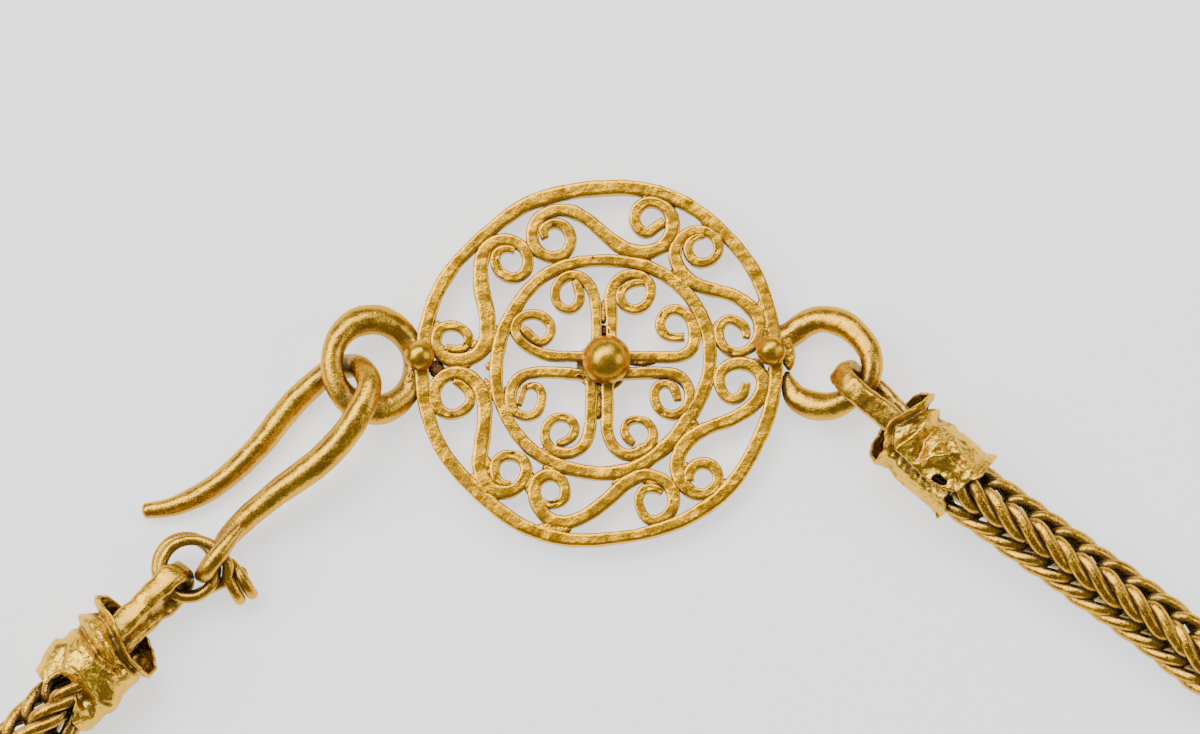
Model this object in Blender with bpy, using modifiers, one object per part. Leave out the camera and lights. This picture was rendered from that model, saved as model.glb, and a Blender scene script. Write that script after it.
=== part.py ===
"""A gold loop-in-loop chain necklace, fastened and laid flat on a surface at z = 0.

The openwork medallion is at the origin, which is on the underside of the plate behind its boss. A swan-neck
hook holds the medallion's left loop, an open loop holds the other end, and the chain runs round below.
"""

import math
from collections import namedtuple

import bmesh
import bpy
from mathutils import Vector

MM = 0.001

# Gaps between pieces that are soldered together, and between pieces that only hang in each other
SOLDER_GAP = 0.05 * MM
PLAY = 0.08 * MM

# Medallion: two bands on edge, with scrolls between them
MEDALLION_RADIUS = 12.3 * MM
RIM_OVAL = 0.0117
RIM_OVAL_TURN = 36
RIM_CORNER = 0.0054
RIM_CORNER_TURN = 56
BAND_WIDTH = 0.83 * MM
STRIP_DEPTH = 1.3 * MM
INNER_BAND_RADIUS = 7.43 * MM
INNER_BAND_WIDTH = 0.76 * MM
INNER_BAND_SHIFT = (0.17 * MM, -0.27 * MM)
SCROLL_WIDTH = 0.68 * MM
CROSS_WIDTH = 0.58 * MM
CROSS_SPREAD = 0.5 * MM
CROSS_CORNER = 0.32 * MM
CROSS_ARM = 2.7 * MM
CROSS_TURN = -1.7

# Boss, the plate behind it and the two beads
BOSS_RADIUS = 1.62 * MM
BOSS_PLACE = (0.41 * MM, 0.04 * MM)
BACKING_RADIUS = 1.7 * MM
BACKING_THICKNESS = 0.45 * MM
BACKING_PLACE = (0.1 * MM, -0.2 * MM)
BEAD_RADIUS = 1.0 * MM
BEAD_INSET = 0.55 * MM
LEFT_BEAD_BEARING = 178
RIGHT_BEAD_BEARING = 3.5
DOME_HEIGHT = 1.5

# Loops at the medallion's sides
RING_WIRE = 0.88 * MM
LEFT_RING_HALF_WIDTH = 2.75 * MM
LEFT_RING_HALF_HEIGHT = 3.1 * MM
RIGHT_RING_HALF_WIDTH = 2.4 * MM
RIGHT_RING_HALF_HEIGHT = 2.9 * MM
RING_TIP = 0.3 * MM
RING_DROP = 0.2 * MM
RING_ROOT = 7
RING_OPEN_FROM = 142
RING_OPEN_TO = -166
RING_TAPER = -118

# Hook, wire ring, strip eyes and sleeves
HOOK_WIRE = 0.78 * MM
HOOK_EYE_WIRE = 0.56 * MM
LINK_WIRE = 0.39 * MM
LINK_RADIUS = 1.95 * MM
LINK_HEIGHT = 1.45 * MM
LINK_START = -60
LINK_WINDING = 655
LINK_SPREAD = 0.55 * MM
LINK_SPREAD_FROM = 565
LINK_TAIL = 3.2 * MM
HOOK_SIDE = 265
EYE_SIDE = 73
COIL_TURN = 36
COIL_STEPS = 13
COIL_PLACE = 1.95 * MM
COIL_SLACK = 0.19 * MM
HOOK_CROSSING = 0.78
LINK_OFFSET = (-12.3 * MM, -13.46 * MM)
HOOK_PLAY = 0.24 * MM
EYE_PLAY = 0.5 * MM
HOOK_EYE_PLAY = 0.15 * MM
EYE_SLACK = 0.05 * MM
EYE_ROOT = 0.65
EYE_STRIP = 1.5 * MM
EYE_THICKNESS = 0.55 * MM
EYE_NOSE = 0.92
LEFT_EYE_ROLL = 15
RIGHT_EYE_ROLL = 20
RIGHT_EYE_SIDE = -42
SLEEVE_LENGTH = 6.0 * MM
SLEEVE_RADIUS = 2.52 * MM
SLEEVE_FLARE = 0.6 * MM
SLEEVE_MOUTH = 0.11
SLEEVE_LIP = 0.12 * MM
SLEEVE_WALL = 0.25 * MM
SLEEVE_FOLD = 0.1 * MM
SLEEVE_FOLDS = 3.1
LEFT_SLEEVE_PHASE = 0.4
RIGHT_SLEEVE_PHASE = 2.1
LEFT_SLEEVE_OFFSET = (-16.6 * MM, -17.9 * MM)
LEFT_SLEEVE_BEARING = -132
RIGHT_SLEEVE_OFFSET = (4.7 * MM, -4.3 * MM)
RIGHT_SLEEVE_BEARING = -43
SLEEVE_DROP = 0.35 * MM

# Chain
LOOP_WIDTH = 140.0 * MM
CHAIN_RADIUS = 2.0 * MM
CHAIN_VALLEY = 0.74
CHAIN_WAIST = 0.93
LINK_PITCH = 2.13 * MM
CHAIN_START = 0.5
CHAIN_END_GAP = 0.45 * MM
CHAIN_SIDES = 8

# Where a scroll's eye is: its bearing from the middle, how far out as a share of the room, the radius of its
# turn and of the flare where it leaves as shares of the room too, the bearing where it leaves, and its sweep
Eye = namedtuple("Eye", "bearing out turn flare leave sweep")

BORDER_SCROLLS = {
    "top": (Eye(109.5, 0.42, 0.31, 0.50, 60, 440), Eye(70.5, 0.56, 0.32, 0.48, -101, 440)),
    "upper_right": (Eye(45.5, 0.62, 0.28, 0.50, 225, -440), Eye(11, 0.44, 0.27, 0.46, 24, -345)),
    "lower_right": (Eye(-9.5, 0.47, 0.32, 0.46, -54, 400), Eye(-46.5, 0.66, 0.27, 0.55, 140, 365)),
    "bottom": (Eye(-68, 0.52, 0.31, 0.46, 118, -350), Eye(-110.5, 0.42, 0.28, 0.58, -85, -350)),
    "lower_left": (Eye(-167, 0.56, 0.31, 0.50, -18, 350), Eye(-131, 0.47, 0.29, 0.54, 150, 360)),
    "upper_left": (Eye(170, 0.56, 0.29, 0.52, 5, -420), Eye(132, 0.38, 0.29, 0.58, 200, -430)),
}
CROSS_SCROLLS = {
    "upper_left": (Eye(112, 0.79, 0.150, 0.26, -20, 420), Eye(151, 0.77, 0.168, 0.26, -65, -420)),
    "upper_right": (Eye(67, 0.80, 0.158, 0.26, 199, -420), Eye(30, 0.82, 0.158, 0.27, -70, 375)),
    "lower_right": (Eye(-63, 0.75, 0.155, 0.30, 165, 420), Eye(-24, 0.72, 0.165, 0.26, 95, -420)),
    "lower_left": (Eye(-120, 0.79, 0.158, 0.28, 20, -420), Eye(-157, 0.79, 0.168, 0.28, 75, 420)),
}
SCROLL_ASPECT = 0.41
EYE_CURL = 0.42
FLARE_POWER = 5
EYE_STEPS = 18
BODY_STEPS = 7
ARM_STEPS = 5
BODY_PULL = 0.38
RIM_STEPS = 56

# Waypoints of the hook: along X and Y from the middle of the left loop, in millimetres where the wire ring is
# HOOK_SPAN away, the lift from the surface (0) to the height where it clears the loop (1), and the radius as
# a share of the wire's
HOOK_SPAN = 18.234
HOOK_ROUTE = (
    (-15.2, -9.65, 0.0, 0.62),
    (-13.1, -9.30, 0.0, 0.80),
    (-10.5, -7.95, 0.0, 0.92),
    (-8.0, -5.70, 0.0, 1.00),
    (-5.5, -2.60, 0.0, 1.00),
    (-3.4, -0.65, 0.0, 1.00),
    (-2.3, -0.15, 0.0, 1.00),
    (-1.4, 0.00, 0.18, 1.00),
    (-0.8, -0.55, 0.60, 1.00),
    (-0.5, -1.50, 0.90, 1.00),
    (-0.7, -2.50, 1.00, 1.00),
    (-1.2, -3.45, 1.02, 1.00),
    (-2.0, -4.65, 0.98, 1.00),
    (-3.6, -6.45, 0.88, 1.00),
    (-6.1, -8.10, 0.66, 1.00),
    (-8.5, -10.00, 0.38, 0.94),
    (-9.75, -11.15, 0.20, 0.84),
)
# Where the hook's end turns back: along X and Y from the middle of the wire ring in the same way, below it
# (0) to above it (1), and the radius as a share of the eye's wire
HOOK_EYE_ROUTE = (
    (1.70, 1.40, 0.0, 1.05),
    (1.12, 0.70, 0.0, 1.0),
    (0.78, 0.20, 0.14, 1.0),
    (0.66, 0.00, 0.5, 1.0),
    (0.92, 0.10, 0.86, 1.0),
    (1.50, 0.70, 1.0, 1.0),
    (2.30, 1.65, 1.02, 0.9),
    (3.10, 2.65, 1.0, 0.62),
)

# Waypoints of the chain between the two sleeves, in millimetres along X and Y for a loop CHAIN_SPAN wide
CHAIN_SPAN = 140.0
CHAIN_ROUTE = (
    (39.2, -19.2),
    (55.0, -33.0),
    (66.0, -52.0),
    (71.0, -74.0),
    (68.0, -98.0),
    (57.0, -119.0),
    (39.0, -134.0),
    (17.0, -142.0),
    (-8.0, -143.0),
    (-32.0, -136.0),
    (-52.0, -121.0),
    (-65.0, -100.0),
    (-69.0, -77.0),
    (-63.0, -54.0),
    (-50.0, -37.5),
)

# Gold, as it looks on each kind of piece
GOLD = {
    "strip": ((0.80, 0.55, 0.19), 0.36),
    "wire": ((0.76, 0.51, 0.17), 0.30),
    "sheet": ((0.83, 0.58, 0.22), 0.40),
    "chain": ((0.72, 0.47, 0.15), 0.38),
}

STRIP_BASE = BACKING_THICKNESS + SOLDER_GAP
STRIP_TOP = STRIP_BASE + STRIP_DEPTH
INNER_OPENING = INNER_BAND_RADIUS - INNER_BAND_WIDTH


def fresh_collection(name):
    collection = bpy.data.collections.new(name)
    bpy.context.scene.collection.children.link(collection)
    return collection


def gold_material(kind):
    """One material for each kind of piece."""
    material = bpy.data.materials.get(f"gold_{kind}")
    if material:
        return material
    colour, roughness = GOLD[kind]
    material = bpy.data.materials.new(f"gold_{kind}")
    material.use_nodes = True
    shader = material.node_tree.nodes["Principled BSDF"]
    shader.inputs["Base Color"].default_value = (*colour, 1)
    shader.inputs["Roughness"].default_value = roughness
    shader.inputs["Metallic"].default_value = 1
    return material


def add_object(name, data, kind, collection):
    data.materials.append(gold_material(kind))
    obj = bpy.data.objects.new(name, data)
    collection.objects.link(obj)
    return obj


def at(bearing, distance):
    """The point at this bearing, in radians, and distance from the origin."""
    return Vector((distance * math.cos(bearing), distance * math.sin(bearing)))


def bearing_of(point):
    return math.atan2(point[1], point[0])


def rim_reach(bearing):
    """How far the outer band's outer face is from the origin."""
    oval = RIM_OVAL * math.cos(2 * (bearing - math.radians(RIM_OVAL_TURN)))
    corner = RIM_CORNER * math.cos(3 * (bearing - math.radians(RIM_CORNER_TURN)))
    return MEDALLION_RADIUS * (1 + oval + corner)


def inner_reach(bearing):
    """How far the inner band's outer face is from the origin."""
    shift = Vector(INNER_BAND_SHIFT)
    ahead = shift.dot(at(bearing, 1))
    return ahead + math.sqrt(INNER_BAND_RADIUS**2 - shift.length_squared + ahead**2)


def in_border(point):
    """The point, moved where needed so that a scroll through it lies between the two bands."""
    bearing = bearing_of(point)
    clear = SCROLL_WIDTH / 2 + SOLDER_GAP
    low = inner_reach(bearing) + clear
    high = rim_reach(bearing) - BAND_WIDTH - clear
    return at(bearing, min(max(point.length, low), high))


def in_opening(point):
    """The point, moved where needed so that a cross scroll through it lies inside the inner band."""
    middle = Vector(INNER_BAND_SHIFT)
    away = point - middle
    high = INNER_OPENING - CROSS_WIDTH / 2 - SOLDER_GAP
    return middle + away * min(1, high / max(away.length, MM))


def eye_turns(centre, turn, flare, eye):
    """The coil of one eye, from the place where the strip leaves it to its tip inside."""
    points = []
    for step in range(EYE_STEPS + 1):
        inward = step / EYE_STEPS
        radius = turn + (flare - turn) * (1 - inward) ** FLARE_POWER
        radius *= 1 - EYE_CURL * inward**3
        points.append(centre + at(math.radians(eye.leave + eye.sweep * inward), radius))
    return points


def heading(path):
    """The direction that leads out of a path past its first point."""
    return (path[0] - path[1]).normalized()


def curve_between(start, start_way, end, end_way, steps):
    """The inner points of a smooth curve from start to end that sets out along each end's own direction."""
    reach = (end - start).length * BODY_PULL
    first = start + start_way * reach
    last = end + end_way * reach
    points = []
    for step in range(1, steps):
        far = step / steps
        near = 1 - far
        points.append(near**3 * start + 3 * near**2 * far * first + 3 * near * far**2 * last + far**3 * end)
    return points


def smooth_through(points, per_span):
    """A Catmull-Rom curve through the points, which may have any number of coordinates."""
    padded = [points[0], *points, points[-1]]
    path = []
    for before, start, end, after in zip(padded, padded[1:], padded[2:], padded[3:]):
        for step in range(per_span):
            spot = []
            for a, b, c, d in zip(before, start, end, after):
                t = step / per_span
                bend = (2 * a - 5 * b + 4 * c - d) * t**2 + (3 * b - a - 3 * c + d) * t**3
                spot.append(b + ((c - a) * t + bend) / 2)
            path.append(tuple(spot))
    path.append(tuple(points[-1]))
    return path


def strip(name, points, width, closed=False, side=0):
    """A flat strip standing on edge along a plan path, from STRIP_BASE up."""
    data = bpy.data.curves.new(name, "CURVE")
    data.dimensions = "2D"
    data.fill_mode = "NONE"
    data.extrude = STRIP_DEPTH / 2
    spline = data.splines.new("POLY")
    spline.points.add(len(points) - 1)
    for target, point in zip(spline.points, points):
        target.co = (point[0], point[1], 0, 1)
    spline.use_cyclic_u = closed
    obj = add_object(name, data, "strip", necklace)
    obj.location.z = STRIP_BASE + STRIP_DEPTH / 2
    wall = obj.modifiers.new("strip width", "SOLIDIFY")
    wall.thickness = width
    wall.offset = side
    wall.use_even_offset = True
    return obj


def wire(name, path, kind="wire", closed=False, resolution=2):
    """A round wire along (x, y, z, radius) points."""
    thickest = max(point[3] for point in path)
    data = bpy.data.curves.new(name, "CURVE")
    data.dimensions = "3D"
    data.bevel_depth = thickest
    data.bevel_resolution = resolution
    data.use_fill_caps = True
    spline = data.splines.new("POLY")
    spline.points.add(len(path) - 1)
    for target, point in zip(spline.points, path):
        target.co = (*point[:3], 1)
        target.radius = point[3] / thickest
    spline.use_cyclic_u = closed
    return add_object(name, data, kind, necklace)


def as_mesh(obj):
    """Replaces a curve object by a mesh object of the same name, with its end caps welded on."""
    bpy.context.view_layer.update()
    evaluated = obj.evaluated_get(bpy.context.evaluated_depsgraph_get())
    data = bpy.data.meshes.new_from_object(evaluated)
    shape = bmesh.new()
    shape.from_mesh(data)
    bmesh.ops.remove_doubles(shape, verts=shape.verts, dist=0.001 * MM)
    shape.to_mesh(data)
    shape.free()
    name = obj.name
    place = obj.matrix_world.copy()
    bpy.data.objects.remove(obj)
    solid = bpy.data.objects.new(name, data)
    solid.matrix_world = place
    necklace.objects.link(solid)
    return solid


def cut(obj, cutter):
    """Takes the cutter out of a mesh object."""
    modifier = obj.modifiers.new("fit", "BOOLEAN")
    modifier.operation = "DIFFERENCE"
    modifier.solver = "EXACT"
    modifier.object = cutter


def rim_cutter():
    """Everything inside the medallion's rim, grown by the gap for solder."""
    height = 20 * MM
    shape = bmesh.new()
    bmesh.ops.create_cone(shape, cap_ends=True, segments=RIM_STEPS * 2, radius1=1, radius2=1, depth=height)
    for vert in shape.verts:
        bearing = bearing_of(vert.co)
        vert.co.xy = at(bearing, rim_reach(bearing) + SOLDER_GAP)
    data = bpy.data.meshes.new("rim_cutter")
    shape.to_mesh(data)
    shape.free()
    cutter = bpy.data.objects.new("rim_cutter", data)
    cutter.hide_render = True
    cutter.display_type = "WIRE"
    cutters.objects.link(cutter)
    return cutter


def make_bands():
    """The two bands, each one strip bent to a closed ring."""
    turns = [math.tau * step / RIM_STEPS for step in range(RIM_STEPS)]
    outer = [at(turn, rim_reach(turn) - BAND_WIDTH / 2) for turn in turns]
    strip("outer_band", outer, BAND_WIDTH, closed=True)
    middle = Vector(INNER_BAND_SHIFT)
    inner = [middle + at(turn, INNER_BAND_RADIUS - INNER_BAND_WIDTH / 2) for turn in turns]
    strip("inner_band", inner, INNER_BAND_WIDTH, closed=True)


def eye_fill():
    """How much of the room between the bands an eye fills, so that it clears the scroll beside it too."""
    outer = MEDALLION_RADIUS - BAND_WIDTH
    length_round = math.pi * (outer + INNER_BAND_RADIUS) / len(BORDER_SCROLLS)
    return min(1, SCROLL_ASPECT * length_round / (outer - INNER_BAND_RADIUS))


def border_eye(eye):
    """One eye of a border scroll. The room is the space between the two bands at its bearing."""
    bearing = math.radians(eye.bearing)
    inside = inner_reach(bearing)
    room = rim_reach(bearing) - BAND_WIDTH - inside
    size = room * eye_fill()
    return eye_turns(at(bearing, inside + room * eye.out), size * eye.turn, size * eye.flare, eye)


def make_border_scrolls():
    """Six S-scrolls: two eyes that turn opposite ways, with one strip from each to the other."""
    for place, (first, second) in BORDER_SCROLLS.items():
        start = border_eye(first)
        end = border_eye(second)
        body = curve_between(start[0], heading(start), end[0], heading(end), BODY_STEPS)
        path = [in_border(point) for point in [*reversed(start), *body, *end]]
        strip(f"border_scroll_{place}", path, SCROLL_WIDTH)


def cross_eye(eye):
    """One eye of a cross scroll. The room is the radius of the inner band's opening."""
    centre = Vector(INNER_BAND_SHIFT) + at(math.radians(eye.bearing), INNER_OPENING * eye.out)
    return eye_turns(centre, INNER_OPENING * eye.turn, INNER_OPENING * eye.flare, eye)


def cross_corner(along, across):
    """The two arms of one cross scroll, from one arm's far end round the corner to the other's far end."""
    turn = math.radians(CROSS_TURN)
    inner = CROSS_SPREAD + CROSS_CORNER
    plan = [(CROSS_SPREAD, CROSS_ARM), (CROSS_SPREAD, inner)]
    plan.append((CROSS_SPREAD + 0.3 * CROSS_CORNER, CROSS_SPREAD + 0.3 * CROSS_CORNER))
    plan += [(inner, CROSS_SPREAD), (CROSS_ARM, CROSS_SPREAD)]
    middle = Vector(BOSS_PLACE) / 2
    return [middle + at(bearing_of((x * along, y * across)) + turn, math.hypot(x, y)) for x, y in plan]


def make_cross_scrolls():
    """Four C-scrolls back to back, whose paired arms make the cross."""
    for place, (upright, level) in CROSS_SCROLLS.items():
        along = 1 if "right" in place else -1
        across = 1 if "upper" in place else -1
        start = cross_eye(upright)
        end = cross_eye(level)
        arms = cross_corner(along, across)
        way_in = curve_between(start[0], heading(start), arms[0], heading(arms), ARM_STEPS)
        way_out = curve_between(arms[-1], heading(arms[::-1]), end[0], heading(end), ARM_STEPS)
        path = [in_opening(point) for point in [*reversed(start), *way_in, *arms, *way_out, *end]]
        strip(f"cross_scroll_{place}", path, CROSS_WIDTH)


def dome(name, radius, place, base):
    """A ball cut flat below, so that its height above the base is DOME_HEIGHT radii."""
    shape = bmesh.new()
    bmesh.ops.create_uvsphere(shape, u_segments=14, v_segments=8, radius=radius)
    floor = radius * (1 - DOME_HEIGHT)
    geometry = [*shape.verts, *shape.edges, *shape.faces]
    bmesh.ops.bisect_plane(
        shape, geom=geometry, plane_co=(0, 0, floor), plane_no=(0, 0, -1), clear_outer=True, dist=0.001 * MM
    )
    bmesh.ops.holes_fill(shape, edges=[edge for edge in shape.edges if edge.is_boundary])
    data = bpy.data.meshes.new(name)
    shape.to_mesh(data)
    shape.free()
    data.shade_smooth()
    obj = add_object(name, data, "strip", necklace)
    obj.location = (*place, base - floor)


def make_boss_and_beads():
    dome("boss", BOSS_RADIUS, BOSS_PLACE, STRIP_TOP + SOLDER_GAP)
    shape = bmesh.new()
    radius = BACKING_RADIUS
    depth = BACKING_THICKNESS
    bmesh.ops.create_cone(shape, cap_ends=True, segments=20, radius1=radius, radius2=radius, depth=depth)
    data = bpy.data.meshes.new("boss_backing")
    shape.to_mesh(data)
    shape.free()
    plate = add_object("boss_backing", data, "strip", necklace)
    plate.location = (*BACKING_PLACE, BACKING_THICKNESS / 2)
    seat = max(STRIP_TOP, 2 * RING_WIRE) + SOLDER_GAP
    for side, bearing in (("left", LEFT_BEAD_BEARING), ("right", RIGHT_BEAD_BEARING)):
        turn = math.radians(bearing)
        dome(f"{side}_bead", BEAD_RADIUS, at(turn, rim_reach(turn) - BEAD_INSET), seat)


def left_ring_centre():
    """The middle of the left loop, whose wire is sunk to half its width in the medallion's rim."""
    near = at(math.pi, rim_reach(math.pi))
    return near - Vector((LEFT_RING_HALF_WIDTH, RING_DROP))


def right_ring_centre():
    """The middle of the right loop, which only reaches the rim with its wire's outer side."""
    near = at(0, rim_reach(0))
    return near + Vector((RIGHT_RING_HALF_WIDTH + RING_WIRE + 2 * SOLDER_GAP, 0))


def ring_rise(away):
    """The height of a loop's wire, away from the medallion's side (0) to its far side (1)."""
    return RING_WIRE + (2 * HOOK_WIRE + HOOK_PLAY) * away


def make_left_ring():
    """A closed loop, filed to seat on the rim and rising away from it so that the hook fits under."""
    centre = left_ring_centre()
    steps = 28
    path = []
    for step in range(steps):
        turn = math.tau * step / steps
        x = centre.x + LEFT_RING_HALF_WIDTH * math.cos(turn)
        y = centre.y + LEFT_RING_HALF_HEIGHT * math.sin(turn)
        path.append((x, y, ring_rise((1 - math.cos(turn)) / 2), RING_WIRE))
    cut(as_mesh(wire("left_ring", path, closed=True)), rim_cutter())


def right_ring_point(bearing, outward=0):
    """The middle of the right loop's wire at this bearing, in degrees from the loop's middle."""
    centre = right_ring_centre()
    turn = math.radians(bearing)
    x = centre.x + (RIGHT_RING_HALF_WIDTH + outward) * math.cos(turn)
    y = centre.y + (RIGHT_RING_HALF_HEIGHT + outward) * math.sin(turn)
    return Vector((x, y, ring_rise((1 + math.cos(turn)) / 2)))


def make_right_ring():
    """An open loop: one end is soldered to the rim, and the other tapers to a cut tip that stays free."""
    path = [(*at(math.radians(RING_ROOT), rim_reach(0) - BAND_WIDTH / 2), RING_WIRE, RING_WIRE)]
    steps = 26
    for step in range(steps + 1):
        bearing = RING_OPEN_FROM + (RING_OPEN_TO - RING_OPEN_FROM) * step / steps
        thin = max(0, (RING_TAPER - bearing) / (RING_TAPER - RING_OPEN_TO))
        radius = RING_WIRE + (RING_TIP - RING_WIRE) * thin
        path.append((*right_ring_point(bearing, RING_WIRE - radius), radius))
    cut(as_mesh(wire("right_ring", path)), bpy.data.objects["rim_cutter"])


def link_middle():
    return left_ring_centre() + Vector(LINK_OFFSET)


def link_pitch():
    """The height from one turn of the wire ring to the next."""
    return 2 * LINK_WIRE + PLAY / 2


def link_point(degrees):
    """The middle of the ring's wire after this much of its winding, which ends outside the first turn."""
    turn = math.radians(LINK_START - degrees)
    spread = max(0, (degrees - LINK_SPREAD_FROM) / (LINK_WINDING - LINK_SPREAD_FROM)) ** 2 * LINK_SPREAD
    spot = link_middle() + at(turn, LINK_RADIUS + spread)
    return Vector((*spot, LINK_HEIGHT + link_pitch() * degrees / 360 - spread / 5))


def make_hook():
    """A swan-neck wire: its tip passes under the left loop, its shank comes back over it to an eye."""
    loop = left_ring_centre()
    unit = Vector(LINK_OFFSET).length / HOOK_SPAN
    over = ring_rise(HOOK_CROSSING) + RING_WIRE + PLAY + HOOK_WIRE
    route = []
    for x, y, lift, share in HOOK_ROUTE:
        radius = share * HOOK_WIRE
        route.append((loop.x + x * unit, loop.y + y * unit, radius + lift * (over - radius), radius))
    ring = link_middle()
    clear = LINK_WIRE + HOOK_EYE_PLAY + HOOK_EYE_WIRE
    low = max(HOOK_EYE_WIRE, link_point(HOOK_SIDE).z - clear)
    high = link_point(HOOK_SIDE + 360).z + clear
    for x, y, lift, share in HOOK_EYE_ROUTE:
        route.append((ring.x + x * unit, ring.y + y * unit, low + lift * (high - low), share * HOOK_EYE_WIRE))
    wire("hook", smooth_through(route, 2))


def make_connecting_ring():
    """Thin wire wound twice round, from a straight end and back to a short coil on that end."""
    first = link_point(0)
    way = (first - link_point(8)).normalized()
    end = first + way * LINK_TAIL
    path = [end.lerp(first, step / 4) for step in range(4)]
    loop_steps = 26
    path += [link_point(LINK_WINDING * step / loop_steps) for step in range(loop_steps + 1)]
    side = Vector((-way.y, way.x, 0)).normalized()
    up = way.cross(side)
    coil_pitch = 2 * LINK_WIRE + 1.6 * PLAY
    for step in range(COIL_STEPS + 1):
        wound = COIL_TURN * step
        turn = math.radians(90 + wound)
        radius = 2 * LINK_WIRE + PLAY + COIL_SLACK * max(0, 1 - wound / 90)
        spot = first + way * (COIL_PLACE + coil_pitch * wound / 360)
        path.append(spot + (side * math.cos(turn) + up * math.sin(turn)) * radius)
    wire("connecting_ring", [(*point, LINK_WIRE) for point in path], resolution=1)


def sleeve_axis(side):
    """The start and end of a sleeve's axis, whose flared mouth just clears the surface it lies on."""
    if side == "left":
        mouth = left_ring_centre() + Vector(LEFT_SLEEVE_OFFSET)
        bearing = LEFT_SLEEVE_BEARING
    else:
        mouth = right_ring_centre() + Vector(RIGHT_SLEEVE_OFFSET)
        bearing = RIGHT_SLEEVE_BEARING
    start = Vector((*mouth, SLEEVE_RADIUS + SLEEVE_FLARE + SLEEVE_FOLD))
    end = start + Vector((*at(math.radians(bearing), SLEEVE_LENGTH), -SLEEVE_DROP))
    return start, end


def sleeve_reach(share, turn, phase):
    """The radius of a sleeve's outer face: flared at the mouth, folded across, and crumpled round."""
    flare = SLEEVE_FLARE * math.exp(-((share / SLEEVE_MOUTH) ** 2)) + SLEEVE_LIP * share**6
    folds = SLEEVE_FOLD * math.sin(math.tau * SLEEVE_FOLDS * share + 0.9 * math.sin(turn + phase))
    crumple = SLEEVE_FOLD / 2 * math.sin(3 * turn + phase + 4 * share)
    settle = min(1, share / SLEEVE_MOUTH)
    return SLEEVE_RADIUS + flare + settle * (folds + crumple)


def make_sleeve(side, phase):
    """A tube of sheet gold over the end of the chain."""
    start, end = sleeve_axis(side)
    along = (end - start).normalized()
    level = Vector((0, 0, 1)).cross(along).normalized()
    up = along.cross(level)
    rings, sides = 11, 14
    shape = bmesh.new()
    rows = []
    for ring in range(rings):
        share = ring / (rings - 1)
        row = []
        for corner in range(sides):
            turn = math.tau * corner / sides
            out = level * math.cos(turn) + up * math.sin(turn)
            reach = sleeve_reach(share, turn, phase)
            row.append(shape.verts.new(start.lerp(end, share) + out * reach))
        rows.append([shape.edges.new((a, b)) for a, b in zip(row, row[1:] + row[:1])])
    for near, far in zip(rows, rows[1:]):
        bmesh.ops.bridge_loops(shape, edges=near + far)
    bmesh.ops.recalc_face_normals(shape, faces=shape.faces)
    shape.faces.ensure_lookup_table()
    face = shape.faces[0]
    if face.normal.dot(face.calc_center_median() - start) < 0:
        bmesh.ops.reverse_faces(shape, faces=shape.faces)
    name = f"{side}_sleeve"
    data = bpy.data.meshes.new(name)
    shape.to_mesh(data)
    shape.free()
    data.shade_smooth()
    obj = add_object(name, data, "sheet", necklace)
    wall = obj.modifiers.new("sheet", "SOLIDIFY")
    wall.thickness = SLEEVE_WALL
    wall.offset = -1


def make_eye(side, held, held_radius, roll):
    """A strip bent to a U round the wire that it holds, with both ends inside its sleeve."""
    start, end = sleeve_axis(side)
    inside = start.lerp(end, CHAIN_START) - (end - start).normalized() * CHAIN_END_GAP
    along = (held - inside).normalized()
    level = Vector((0, 0, 1)).cross(along).normalized()
    up = along.cross(level)
    turned = math.radians(roll)
    apart = up * math.cos(turned) + level * math.sin(turned)
    across = along.cross(apart)
    half = held_radius + EYE_PLAY + EYE_THICKNESS / 2
    nose = half * EYE_NOSE
    bend = (held - inside).length + EYE_SLACK
    steps = 8
    route = [(0, EYE_ROOT), (bend, 1)]
    for step in range(1, steps):
        turning = math.pi * step / steps
        route.append((bend + nose * math.sin(turning), math.cos(turning)))
    route += [(bend, -1), (0, -EYE_ROOT)]
    shape = bmesh.new()
    loops = []
    for index, (forward, offset) in enumerate(route):
        turning = min(max(index - 1, 0), steps) / steps * math.pi
        outward = apart * math.cos(turning) + along * math.sin(turning)
        spot = inside + along * forward + apart * half * offset
        corners = []
        for wide, thick in ((-1, -1), (1, -1), (1, 1), (-1, 1)):
            corners.append(shape.verts.new(
                spot + across * wide * EYE_STRIP / 2 + outward * thick * EYE_THICKNESS / 2
            ))
        loops.append([shape.edges.new((a, b)) for a, b in zip(corners, corners[1:] + corners[:1])])
    for near, far in zip(loops, loops[1:]):
        bmesh.ops.bridge_loops(shape, edges=near + far)
    bmesh.ops.holes_fill(shape, edges=[edge for edge in shape.edges if edge.is_boundary])
    bmesh.ops.recalc_face_normals(shape, faces=shape.faces)
    data = bpy.data.meshes.new(f"{side}_eye")
    shape.to_mesh(data)
    shape.free()
    add_object(f"{side}_eye", data, "wire", necklace)


def chain_route():
    """The chain's middle line, from inside the right sleeve round to inside the left one."""
    right_start, right_end = sleeve_axis("right")
    left_start, left_end = sleeve_axis("left")
    points = [right_start.lerp(right_end, CHAIN_START), right_end]
    unit = LOOP_WIDTH / CHAIN_SPAN
    points += [Vector((x * unit, y * unit, CHAIN_RADIUS)) for x, y in CHAIN_ROUTE]
    points += [left_end, left_start.lerp(left_end, CHAIN_START)]
    path = smooth_through([tuple(point) for point in points], 40)
    return [Vector((x, y, max(z, CHAIN_RADIUS))) for x, y, z in path]


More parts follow.
